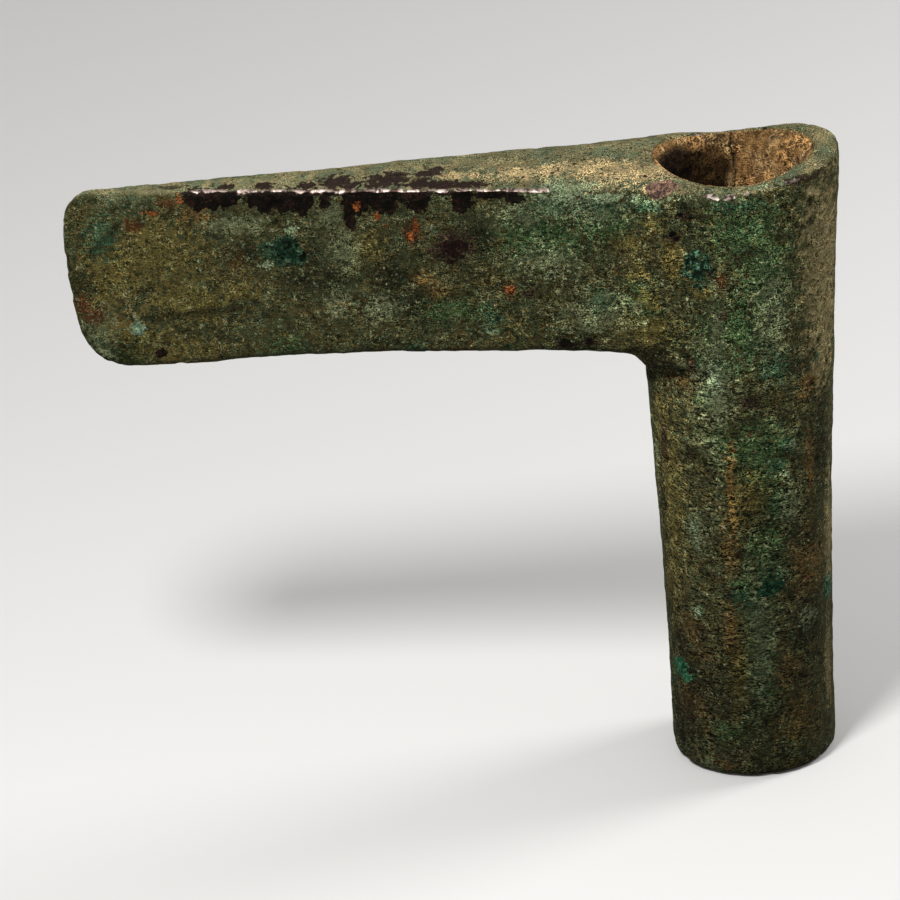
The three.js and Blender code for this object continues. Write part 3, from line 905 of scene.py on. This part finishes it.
# %% Ragged stains as a node group
def make_stain():
    tree, given, result = new_group(
        "stain",
        [("Field", "Float", 0.0), ("Crumb Size", "Float", 0.6 * MM), ("Raggedness", "Float", 0.3),
         ("Softness", "Float", 0.2)],
        [("Mask", "Float")],
    )
    crumbs = centred(tree, cloud(tree, place_on(tree), given["Crumb Size"]))
    ragged_field = calculate(tree, "MULTIPLY_ADD", crumbs, given["Raggedness"], given["Field"])
    below = times(tree, given["Softness"], -1.0)
    tree.links.new(step(tree, ragged_field, below, given["Softness"]), result["Mask"])
    return tree


stain = make_stain()
print("group", stain.name)


def field_of(tree, name):
    return add(tree, "Attribute", attribute_name=name).outputs["Fac"]


def stains_and_painted_shade(tree, name, crumb, raggedness, softness):
    """Where the stains of that kind lie."""
    field = field_of(tree, name)
    values = {"Field": field, "Crumb Size": crumb, "Raggedness": raggedness, "Softness": softness}
    return use(tree, stain, values)["Mask"]


# %% [markdown]
# Old bronze, its colours
#
# The casting's finish is built in layers: a cloudy ground, paler where the metal faces up, partly from
# settled dust and partly as painted light from above, then stains, then earth inside the mouth. Each is
# one more layer over the last.
# Colours are chosen one by one.

# %% Colours of the patina
# The size of the clouds and their three colours, the finer ones with how much they hide
GROUND = (9 * MM, srgb(73, 70, 40), srgb(62, 69, 44), srgb(76, 72, 42))
FINER_GROUND = [
    (0.45, 2.4 * MM, srgb(50, 49, 28), srgb(78, 85, 59), srgb(85, 69, 36)),
    (0.42, 0.9 * MM, srgb(44, 43, 25), srgb(84, 90, 64), srgb(92, 80, 46)),
]
# Paler where the metal faces up: partly settled dust, partly painted light from above
DUST_AND_TOP_LIGHT = (4 * MM, srgb(132, 125, 90), srgb(112, 119, 89), srgb(154, 142, 102))
DUST_AND_TOP_LIGHT_RISE = (0.5, 0.9)
DUST_AND_TOP_LIGHT_COVER = 0.85
MOUTH_EARTH = (3 * MM, srgb(150, 118, 76), srgb(126, 106, 70), srgb(172, 138, 94))
MOUTH_EARTH_BORDER = (-0.2, 0.4)

# The kind of stain and its colour, the size of its crumbs, how ragged and how soft its border is,
# and how much it hides
STAIN_LOOKS = [
    ("leaf", srgb(58, 90, 54), 0.9 * MM, 0.45, 0.4, 0.66),
    ("ochre", srgb(112, 99, 51), 0.9 * MM, 0.6, 0.3, 0.66),
    ("umber", srgb(118, 87, 46), 0.9 * MM, 0.5, 0.4, 0.6),
    # Dark patches, and painted shade in the crease and down the socket's lower left edge
    ("dark_patina_and_shade", srgb(26, 25, 15), 0.9 * MM, 0.5, 0.25, 0.7),
    # Pale patches, and a painted highlight down the socket's front ridge
    ("pale", srgb(114, 121, 88), 0.8 * MM, 0.4, 0.5, 0.6),
    # Tan patches, and painted light down the socket's right edge
    ("tan", srgb(154, 139, 98), 1.0 * MM, 0.3, 0.5, 0.8),
    ("sand", srgb(196, 172, 124), 0.8 * MM, 0.35, 0.35, 0.82),
    ("rust", srgb(84, 46, 26), 0.7 * MM, 0.4, 0.2, 0.75),
    ("teal", srgb(50, 86, 62), 0.7 * MM, 0.55, 0.3, 0.62),
    ("mint", srgb(142, 158, 121), 0.6 * MM, 0.5, 0.2, 0.7),
    ("plum", srgb(48, 32, 28), 0.8 * MM, 0.35, 0.2, 0.8),
]


def patina_colour(tree, up):
    """The cloudy ground, dust and painted light on what faces up, the stains, some of them painted shade and
    light, and the earth inside the mouth.
    """
    colour = mottled(tree, *GROUND)
    for cover, *values in FINER_GROUND:
        colour = lay(tree, cover, colour, mottled(tree, *values))
    # Paler on what faces up: settled dust, and painted light from above
    dust_and_top_light = times(tree, step(tree, up, *DUST_AND_TOP_LIGHT_RISE), DUST_AND_TOP_LIGHT_COVER)
    colour = lay(tree, dust_and_top_light, colour, mottled(tree, *DUST_AND_TOP_LIGHT))
    for name, tint, *border, cover in STAIN_LOOKS:
        colour = lay(tree, times(tree, stains_and_painted_shade(tree, name, *border), cover), colour, tint)
    earthy = step(tree, field_of(tree, "mouth_earth"), *MOUTH_EARTH_BORDER)
    return lay(tree, earthy, colour, mottled(tree, *MOUTH_EARTH))


# %% [markdown]
# Old bronze, its grain
#
# The skin isn't equally rough all over. It is coarsest on the socket's front and finer towards the
# cutting edge, on the rounded back, near the foot and on what faces up. Noise alone can't know that,
# so the grain's contrast follows the place on the casting and how steep the metal is.

# %% Grain of the old bronze
# Eased steps along the casting: where each starts and ends, and from which value to which it goes
BLADE_GRAIN = (-88 * MM, -20 * MM, 0.6, 1.12)
TUBE_GRAIN = (-28 * MM, -12 * MM, 1.0, 1.25)
BACK_GRAIN = (6 * MM, 12 * MM, 1.0, 0.4)
FOOT_GRAIN = (10 * MM, 75 * MM, 0.6, 1.0)
STRAND_SHARES = (45 * MM, 90 * MM, 0.8, 0.45)
TOP_GRAIN = 0.58
GRAIN_CONTRAST = 0.9
BRONZE_GRAIN = (0.2 * MM, 0.1, 3.0)


def bronze_grain(tree, where, steep):
    """How rough the skin is at each place, and its grain."""
    tube = times(tree, step(tree, where["X"], *TUBE_GRAIN), step(tree, where["X"], *BACK_GRAIN))
    tube = times(tree, tube, step(tree, where["Z"], *FOOT_GRAIN))
    rough = times(tree, step(tree, where["X"], *BLADE_GRAIN), lay_value(tree, steep, TOP_GRAIN, tube))
    strands = times(tree, steep, step(tree, where["Z"], *STRAND_SHARES))
    return rough, grained(tree, *BRONZE_GRAIN, strands, times(tree, rough, GRAIN_CONTRAST))


# %% [markdown]
# Old bronze, its flaws
#
# Where patina flaked off, dark oxide shows, and small orange spots have broken out. Pits crowd in
# some places, and between them pale grains and painted glints on the brightest grains lighten the
# colour. The grain's tone comes before the pits, because the grains take the colour of what they lie on.

# %% Oxide and spots
# The tints start with the size of their clouds. The raggedness is that on top and on steep metal.
OXIDE = (1.4 * MM, srgb(12, 8, 6), srgb(5, 3, 2), srgb(32, 19, 15))
OXIDE_ON_TOP = srgb(40, 29, 25)
OXIDE_CRUMB = 0.8 * MM
OXIDE_RAGGEDNESS = (0.4, 0.2)
OXIDE_SOFTNESS = 0.06
OXIDE_COVER = 0.985
SPOTS = (0.6 * MM, srgb(156, 90, 46), srgb(124, 66, 32), srgb(80, 46, 26))
SPOT_BORDER = (0.6 * MM, 0.3, 0.12)
SPOT_COVER = 0.9


def flaked(tree, colour, steep):
    """Oxide and spots over the patina, and the mask of the oxide."""
    bare = stains_and_painted_shade(tree, "oxide", OXIDE_CRUMB, lay_value(tree, steep, *OXIDE_RAGGEDNESS), OXIDE_SOFTNESS)
    oxide = lay(tree, steep, OXIDE_ON_TOP, mottled(tree, *OXIDE))
    colour = lay(tree, times(tree, bare, OXIDE_COVER), colour, oxide)
    spots = times(tree, stains_and_painted_shade(tree, "orange", *SPOT_BORDER), SPOT_COVER)
    return lay(tree, spots, colour, mottled(tree, *SPOTS)), bare


# %% Pits, pale grains and painted glints
PIT_CROWDS = 8 * MM
PIT_CROWDING = (0.42, 0.62, 0.04, 0.36)
PIT_SPACINGS = (0.9 * MM, 2.2 * MM)
PIT_SIZES = (0.38, 0.26)
PIT_BOTTOM = srgb(12, 11, 7)
PIT_COVER = 0.75
PALE_SPECKS = (0.7 * MM, 0.16, 0.26)
PALE_GRAIN_AND_GLINT = srgb(160, 160, 124)
PALE_GRAIN_AND_GLINT_GAIN = 2.4
PALE_GRAIN_AND_GLINT_COVER = 0.4
TOP_GLINTS = 0.5
SUNK = (0.25, 0.8)
SUNK_SHADE = 0.5


def pitted(tree, colour, glints, bare, steep):
    """Dark pits, pale grains and painted glints over the skin, and the mask of the pits."""
    crowding = step(tree, cloud(tree, place_on(tree), PIT_CROWDS), *PIT_CROWDING)
    kinds = [speckled(tree, spacing, crowding, size) for spacing, size in zip(PIT_SPACINGS, PIT_SIZES)]
    holes = calculate(tree, "MAXIMUM", *kinds)
    colour = lay(tree, times(tree, holes, PIT_COVER), colour, PIT_BOTTOM)
    # Painted glints on the brightest grains, with real pale grains, lighten the colour
    light = calculate(tree, "MAXIMUM", glints, speckled(tree, *PALE_SPECKS))
    light = times(tree, light, outside(tree, bare))
    light = times(tree, light, lay_value(tree, steep, TOP_GLINTS, 1.0))
    pale = lay(tree, PALE_GRAIN_AND_GLINT_COVER, scaled(tree, colour, PALE_GRAIN_AND_GLINT_GAIN), PALE_GRAIN_AND_GLINT)
    colour = lay(tree, times(tree, light, PALE_GRAIN_AND_GLINT_COVER), colour, pale)
    sunk = step(tree, field_of(tree, "pit"), *SUNK)
    return scaled(tree, colour, outside(tree, times(tree, sunk, SUNK_SHADE))), holes


# %% [markdown]
# Old bronze, its gloss
#
# Patina is matt, so it has almost no mirror shine. Only two places have some: the dark oxide, and the
# crest that handling has polished. Edge wear is often found by measuring curvature, but here the
# crest is the one rounded edge between a flank and the top, so a band of the normal's height finds
# it: there the metal is bare.

# %% Old bronze as a material
STEEP = (0.8, 0.4)
CREST_RISE = (0.53, 0.6)
CREST_END = (0.93, 0.84)
RUB_BORDER = (1.6 * MM, 0.5, 0.4)
BARE_METAL = (1.4 * MM, srgb(124, 110, 102), srgb(60, 47, 42), srgb(166, 152, 142))
LUMP_SHADE = (-0.6, 0.6, 0.82, 1.16)
FOOT_SHADE = (10 * MM, 75 * MM, 0.54, 1.0)
PIT_DEPTH_SHARE = 0.25
OXIDE_SMOOTHER = 0.5
BRONZE_BUMP = 0.8 * MM
PATINA_SHINE = 0.04
PATINA_ROUGHNESS = 0.85
OXIDE_ROUGHNESS = 0.62
POLISHED_ROUGHNESS = 0.46
POLISHED_METAL = 0.85


def bumped(tree, relief, distance):
    """The normal of a surface with that fine relief."""
    return add(tree, "Bump", {"Strength": 1.0, "Distance": distance, "Height": relief}).outputs[0]


def make_old_bronze():
    material, tree, surface = new_material("old bronze")
    up = add(tree, "SeparateXYZ", {0: add(tree, "NewGeometry").outputs["Normal"]}).outputs["Z"]
    where = add(tree, "SeparateXYZ", {0: place_on(tree)}).outputs
    steep = step(tree, calculate(tree, "ABSOLUTE", up), *STEEP)
    rough, grains = bronze_grain(tree, where, steep)
    colour = patina_colour(tree, up)
    colour = scaled(tree, colour, step(tree, field_of(tree, "rise"), *LUMP_SHADE))
    # Darker towards the foot: partly a darker patina, partly painted shade where less light reaches the
    # socket's lower end
    colour = scaled(tree, colour, step(tree, where["Z"], *FOOT_SHADE))
    colour, bare = flaked(tree, colour, steep)
    colour = scaled(tree, colour, grains["Tone"])
    colour, holes = pitted(tree, colour, grains["Glint Mask"], bare, steep)
    crest = times(tree, step(tree, up, *CREST_RISE), step(tree, up, *CREST_END))
    polished = times(tree, crest, stains_and_painted_shade(tree, "worn", *RUB_BORDER))
    colour = lay(tree, polished, colour, mottled(tree, *BARE_METAL))
    relief = calculate(tree, "SUBTRACT", grains["Height"], times(tree, holes, PIT_DEPTH_SHARE))
    relief = times(tree, relief, outside(tree, polished))
    relief = times(tree, relief, outside(tree, times(tree, bare, OXIDE_SMOOTHER)))
    relief = times(tree, relief, calculate(tree, "MINIMUM", rough, 1.0))
    matt = lay_value(tree, bare, PATINA_ROUGHNESS, OXIDE_ROUGHNESS)
    fill(tree, surface, {
        "Base Color": colour,
        "Roughness": lay_value(tree, polished, matt, POLISHED_ROUGHNESS),
        "Metallic": times(tree, polished, POLISHED_METAL),
        "Specular IOR Level": PATINA_SHINE,
        "Normal": bumped(tree, relief, BRONZE_BUMP),
    })
    return material


casting.data.materials.append(make_old_bronze())
print("material", casting.data.materials[0].name)

# %% [markdown]
# Earth in the socket
#
# The bore is lined with dry earth that burial pressed onto its wall. It is lumpy, with a thicker
# patch on the right that ends in a step and a crack. A simple way would be to displace the frame's
# sleeve, but its faces are large. Here the bore's own wall is measured from the axis outwards, and a
# new sleeve is laid on it, finest near the mouth where it is seen.

# %% Helpers for closed pieces
def grid_quads(rows, columns, closed):
    """Quads between neighbouring points of a grid. The rows of a closed grid are rings."""
    quads = []
    for row in range(rows - 1):
        above, below = row * columns, (row + 1) * columns
        for column in range(columns if closed else columns - 1):
            following = (column + 1) % columns
            quads.append((above + column, above + following, below + following, below + column))
    return quads


def closed_sheet(name, seen, hidden_side, quads):
    """A closed mesh between two sheets of points that share their quads. Also gives the points it uses."""
    used = sorted({corner for quad in quads for corner in quad})
    number = {old: new for new, old in enumerate(used)}
    quads = [tuple(number[corner] for corner in quad) for quad in quads]
    count = len(used)
    edges = {(quad[i - 1], quad[i]) for quad in quads for i in range(len(quad))}
    border = [(a, b) for a, b in edges if (b, a) not in edges]
    faces = quads + [tuple(corner + count for corner in reversed(quad)) for quad in quads]
    faces += [(b, a, a + count, b + count) for a, b in sorted(border)]
    mesh = bpy.data.meshes.new(name)
    mesh.from_pydata([*seen[used], *hidden_side[used]], [], faces)
    mesh.shade_smooth()
    return new_object(name, mesh), np.array(used)


def store_twice(piece, name, values):
    """A field of a closed sheet, whose two sides have the same values."""
    store(piece.data, name, np.tile(values.ravel(), 2))


# %% Lumps, patch and crack of the earth
EARTH_STEP_PIXEL = (733, 163)
STEP_TURN = math.radians(10)
PATCH_TURN = math.radians(125)
PATCH_FADE = math.radians(35)
CRACK_WIDTH = 0.6 * MM
CRACK_WOBBLE = 0.07
CRACK_CLOUDS = (3 * MM, 3)
DEEP_TURNS = (math.radians(15), math.radians(55))

# Size, octaves and shift of the clouds, then how high the lumps rise
EARTH_LUMPS = (((5 * MM, 4, 1.7), 0.5 * MM), ((1.5 * MM, 4, 4.7), 0.3 * MM))


def bore_wall(angle, height):
    """Distance from the socket's axis to the wall of the bore."""
    direction = Vector((math.cos(angle), math.sin(angle), 0))
    return metal.ray_cast(Vector((0, 0, height)), direction)[3]


def on_rings(angles, distances, heights):
    """Points at those distances from the axis, one row for each ring."""
    flat = [distances * np.cos(angles), distances * np.sin(angles), heights]
    return np.stack(flat, axis=-1).reshape(-1, 3)


def earth_forms(place, angles, walls):
    """Heights of the lumps, and from 0 to 1 the thicker patch, the crack that ends it and what lies past."""
    lumpy = sum(height * clouds(place, *lumps) for lumps, height in EARTH_LUMPS).reshape(walls.shape)
    broken = metal_at(*EARTH_STEP_PIXEL)[0]
    past = np.angle(np.exp(1j * (angles - math.atan2(broken.y, broken.x))))
    past = past[None, :] + CRACK_WOBBLE * clouds(place, *CRACK_CLOUDS).reshape(walls.shape)
    patch = smooth(1 - past / STEP_TURN) * smooth((past + PATCH_TURN) / PATCH_FADE)
    crack = smooth(1 - np.abs(past) * walls / CRACK_WIDTH)
    first, last = DEEP_TURNS
    return lumpy, patch, crack, smooth((past - first) / (last - first))


# %% Earth lining, with painted shade below the mouth, sooner beyond the crack, and in the crack
EARTH_THICKNESS = 1.25 * MM
EARTH_THINNEST = 0.2 * MM
EARTH_STEP = 0.8 * MM
EARTH_CRACK = 0.6 * MM
EARTH_RISE = 0.6 * MM
EARTH_FEATHER = 2 * MM
EARTH_EDGE_SHARE = 0.15
EARTH_OVERLAP = 0.1 * MM
EARTH_COLUMNS = 210
FINE_DEPTH = 17 * MM
FINE_ROW = 0.36 * MM
COARSE_ROW = 1.7 * MM
SHADE_DEPTH = 4.5 * MM
QUICKER_SHARE = 0.65
LIGHTER_SHARE = 0.3
DARKEST_DEPTH = 11 * MM


def make_earth():
    lowest = float(earth_points[:, 2].min())
    depths = np.concatenate([
        np.arange(0, FINE_DEPTH, FINE_ROW),
        np.arange(FINE_DEPTH, float(earth_tops.min()) - lowest, COARSE_ROW),
    ])
    angles = np.arange(EARTH_COLUMNS) / EARTH_COLUMNS * 2 * math.pi
    tops = earth_top(angles) + EARTH_RISE
    span = depths[-1]
    heights = np.array([tops - depth - (tops - tops.min()) * (depth / span) for depth in depths])
    walls = np.array([[bore_wall(a, z) for a, z in zip(angles, row)] for row in heights])
    lumpy, patch, crack, deeper = earth_forms(on_rings(angles, walls, heights), angles, walls)
    thickness = EARTH_THICKNESS + lumpy + EARTH_STEP * patch - EARTH_CRACK * crack
    from_end = np.minimum(depths, span - depths)[:, None]
    feather = EARTH_EDGE_SHARE + (1 - EARTH_EDGE_SHARE) * smooth(from_end / EARTH_FEATHER)
    seen = on_rings(angles, walls - np.maximum(thickness, EARTH_THINNEST) * feather, heights)
    in_metal = on_rings(angles, walls + EARTH_OVERLAP, heights)
    piece, _ = closed_sheet("burial_earth", seen, in_metal, grid_quads(len(depths), EARTH_COLUMNS, True))
    store_twice(piece, "lump", lumpy / EARTH_LUMPS[0][1])
    # Painted shade: darker down the bore away from the thicker patch and sooner beyond the crack, less dark
    # near the top where more light falls in, and dark in the crack.
    reached = smooth(depths[:, None] / (SHADE_DEPTH * (1 - QUICKER_SHARE * deeper)))
    lighter = LIGHTER_SHARE * (1 - deeper) * (1 - smooth(depths[:, None] / DARKEST_DEPTH))
    store_twice(piece, "stains_and_painted_shade", np.maximum((1 - patch) * reached * (1 - lighter), crack))
    return piece


earth = make_earth()
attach(earth, ROOT)
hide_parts("socket_earth")
print("earth faces", len(earth.data.polygons))

# %% [markdown]
# Finish of the earth
#
# Dry earth has no gloss at all. What makes it look like earth is its crumbly relief, paler on the
# lumps and darkened in the gaps between them as painted shade, and clouds of orange and tan. Down the
# bore and in the crack it is painted almost black, as shade.

# %% Dry earth
EARTH_GRAIN = (0.32 * MM, 0.35, 1.5, 0.25, 0.7)
EARTH_TINTS = (3 * MM, srgb(174, 133, 83), srgb(148, 112, 68), srgb(192, 156, 106))
EARTH_LUMP_RISE = (-1.1, 0.3)
EARTH_PITS = {
    "places": (1.2 * MM, 0.4, 0.4),
    "cover": 0.7,
    "bottom": srgb(48, 30, 16),
    "depth": 0.4,
    "bump": 1.0 * MM,
}
PAINTED_BORE_SHADE = 0.05
GAP_SHADE = 0.24
EARTH_ROUGHNESS = 0.95
EARTH_SHINE = 0.1


def with_pits(tree, colour, height, places, cover, bottom, depth, bump):
    """A colour with dark pits in it, and the normal of its relief with the same pits."""
    holes = speckled(tree, *places)
    relief = calculate(tree, "SUBTRACT", height, times(tree, holes, depth))
    return lay(tree, times(tree, holes, cover), colour, bottom), bumped(tree, relief, bump)


def make_dry_earth():
    material, tree, surface = new_material("dry earth")
    crumbs = grained(tree, *EARTH_GRAIN)
    colour = mottled(tree, *EARTH_TINTS)
    # Painted shade, almost black, down the bore and in the crack
    colour = lay(tree, field_of(tree, "stains_and_painted_shade"), colour, scaled(tree, colour, PAINTED_BORE_SHADE))
    lumpy = step(tree, field_of(tree, "lump"), *EARTH_LUMP_RISE)
    # Painted shade in the gaps between the lumps
    colour = lay(tree, lumpy, scaled(tree, colour, GAP_SHADE), colour)
    colour = scaled(tree, colour, crumbs["Tone"])
    colour, normal = with_pits(tree, colour, crumbs["Height"], **EARTH_PITS)
    fill(tree, surface, {
        "Base Color": colour,
        "Roughness": EARTH_ROUGHNESS,
        "Specular IOR Level": EARTH_SHINE,
        "Normal": normal,
    })
    return material


earth.data.materials.append(make_dry_earth())
print("material", earth.data.materials[0].name)

# %% [markdown]
# Crusts of corrosion
#
# Here and there corrosion has grown out of the metal as a low crust: teal and green ones, and two of
# copper oxide. Each frame crust is a thin chip that floats just off the metal. What replaces it grows
# from the skin: a fine grid is dropped onto the casting, raised by a rounded lumpy profile inside a
# torn outline, and sunk into the metal at its border.

# %% Crusts that grow out of the skin
CRUST_CELL = 0.16 * MM
CRUST_MARGIN_SHARE = 0.3
CRUST_SINK = 0.12 * MM
CRUST_ROOT = 0.35 * MM
CRUST_EDGE = -0.15
CRUST_STEEPNESS = 3
TEARS_ALONG = 3.5
TEAR_OCTAVES = 4
LUMP_OCTAVES = 3
LUMP_SHIFT = 5
LOWEST_LUMP_SHARE = 0.15
DROP_HEIGHT = 5 * MM
STEEPEST_SEAT = 0.2

skin = BVHTree.FromObject(casting, bpy.context.evaluated_depsgraph_get())


def crust(name, node, length, width, thickness, tear, lump_size, lumpiness, shift):
    """A lumpy crust of that length and width round the frame's chip, closed and rooted in the skin."""
    low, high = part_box(node)
    seat, normal, _, _ = metal.find_nearest((low + high) / 2)
    along, rising = tangents(normal)
    reach_u, reach_v = (half * (1 + CRUST_MARGIN_SHARE) / 2 for half in (length, width))
    us = np.arange(-reach_u, reach_u, CRUST_CELL)
    vs = np.arange(-reach_v, reach_v, CRUST_CELL)
    flat = np.array([seat + along * u + rising * v for v in vs for u in us])
    oval = 1 - np.hypot(*np.meshgrid(us / (length / 2), vs / (width / 2))).ravel()
    field = oval + tear * clouds(flat, length / TEARS_ALONG, TEAR_OCTAVES, shift)
    bumps = 1 + lumpiness * clouds(flat, lump_size, LUMP_OCTAVES, shift + LUMP_SHIFT)
    heights = thickness * smooth(field * CRUST_STEEPNESS) * np.maximum(bumps, LOWEST_LUMP_SHARE) - CRUST_SINK
    seen, in_metal, seated = [], [], []
    for place, height in zip(flat, heights):
        hit, hit_normal, _, _ = skin.ray_cast(Vector(place) + normal * DROP_HEIGHT, -normal, 2 * DROP_HEIGHT)
        seated.append(hit is not None and hit_normal.dot(normal) > STEEPEST_SEAT)
        base = hit if hit is not None else Vector(place)
        seen.append(base + normal * float(height))
        in_metal.append(base - normal * CRUST_ROOT)
    kept = np.array(seated) & (field > CRUST_EDGE)
    quads = [quad for quad in grid_quads(len(vs), len(us), False) if kept[list(quad)].all()]
    piece, used = closed_sheet(name, np.array(seen), np.array(in_metal), quads)
    store_twice(piece, "crust_depth", field[used])
    store_twice(piece, "crust_lump", bumps[used] - 1)
    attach(piece, ROOT)
    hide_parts(node)
    return piece


# %% [markdown]
# Finish of the crusts
#
# All crusts share one recipe with their own colours: a deep colour in the hollows, a middle one, and
# a pale powdery one on the lumps and at the thin border. Oxide crusts use the same recipe, a little
# smoother.

# %% One recipe for all crusts
CRUST_GRAIN = (0.3 * MM, 0.3, 1.6, 0.3, 0.4)
CRUST_CLOUDS = 1.3 * MM
CRUST_BORDER = (0.5, 0.05)
CRUST_LUMPS = (-0.1, 0.35)
POWDER_HEIGHTS = (-0.06, 0.06)
CRUST_PITS = {
    "places": (0.8 * MM, 0.35, 0.34),
    "cover": 0.6,
    "bottom": srgb(14, 15, 10),
    "depth": 0.3,
    "bump": 0.9 * MM,
}


def make_crust_finish(name, deep, middle, pale, pale_share, roughness):
    material, tree, surface = new_material(name)
    grains = grained(tree, *CRUST_GRAIN)
    colour = mottled(tree, CRUST_CLOUDS, deep, middle, middle)
    border = step(tree, field_of(tree, "crust_depth"), *CRUST_BORDER)
    lumpy = step(tree, field_of(tree, "crust_lump"), *CRUST_LUMPS)
    powdery = step(tree, grains["Height"], *POWDER_HEIGHTS, 0.0, pale_share)
    powder = times(tree, calculate(tree, "MAXIMUM", border, lumpy), powdery)
    colour = scaled(tree, lay(tree, powder, colour, pale), grains["Tone"])
    colour, normal = with_pits(tree, colour, grains["Height"], **CRUST_PITS)
    fill(tree, surface, {
        "Base Color": colour,
        "Roughness": roughness,
        "Specular IOR Level": PATINA_SHINE,
        "Normal": normal,
    })
    return material


# %% The eight crusts, each with its shape, its colours and its slot
GREEN, OXIDES = "green_corrosion", "cuprite"

# The shape is length, width, thickness, how torn, the size and strength of the lumps, and the clouds' shift.
# The colours are a deep, a middle and a pale one, then how powdery and how rough the crust is.
CRUSTS = {
    "teal_crust_blade": (
        (6.6 * MM, 6.4 * MM, 0.36 * MM, 0.5, 1.2 * MM, 0.6, 2.0),
        (srgb(12, 26, 17), srgb(26, 51, 36), srgb(98, 124, 92), 0.65, 0.85), GREEN),
    "cuprite_crust_blade": (
        (6.6 * MM, 5.2 * MM, 0.14 * MM, 0.6, 1.0 * MM, 0.5, 9.0),
        (srgb(20, 12, 10), srgb(36, 20, 18), srgb(48, 38, 27), 0.35, 0.6), OXIDES),
    "mint_crust_edge": (
        (2.4 * MM, 2.9 * MM, 0.26 * MM, 0.6, 0.7 * MM, 0.6, 4.0),
        (srgb(104, 132, 102), srgb(130, 156, 126), srgb(170, 190, 160), 0.8, 0.9), GREEN),
    "pit_crust_head": (
        (4.4 * MM, 6.2 * MM, 0.3 * MM, 0.9, 1.1 * MM, 1.0, 6.0),
        (srgb(14, 17, 12), srgb(32, 52, 37), srgb(108, 150, 116), 1.0, 0.85), GREEN),
    "malachite_flake_socket": (
        (6.2 * MM, 4.6 * MM, 0.28 * MM, 0.5, 0.9 * MM, 0.5, 12.0),
        (srgb(26, 64, 42), srgb(42, 100, 68), srgb(104, 148, 112), 0.6, 0.75), GREEN),
    "green_crust_socket": (
        (6.6 * MM, 4.0 * MM, 0.2 * MM, 0.9, 1.2 * MM, 0.8, 14.0),
        (srgb(18, 38, 24), srgb(26, 60, 40), srgb(70, 94, 62), 0.6, 0.8), GREEN),
    "teal_crust_back": (
        (2.8 * MM, 4.8 * MM, 0.22 * MM, 0.6, 1.0 * MM, 0.6, 17.0),
        (srgb(44, 74, 56), srgb(66, 104, 82), srgb(110, 140, 112), 0.7, 0.85), GREEN),
    "cuprite_blister_rim": (
        (6 * MM, 4 * MM, 0.34 * MM, 0.25, 2.4 * MM, 0.2, 21.0),
        (srgb(100, 75, 68), srgb(142, 111, 92), srgb(164, 140, 114), 0.7, 0.6), OXIDES),
}
for node, (form, look, slot) in CRUSTS.items():
    piece = crust(node.replace("crust", "growth"), node, *form)
    piece.data.materials.append(make_crust_finish(node.replace("_", " "), *look))
    print(piece.name, "faces", len(piece.data.polygons))
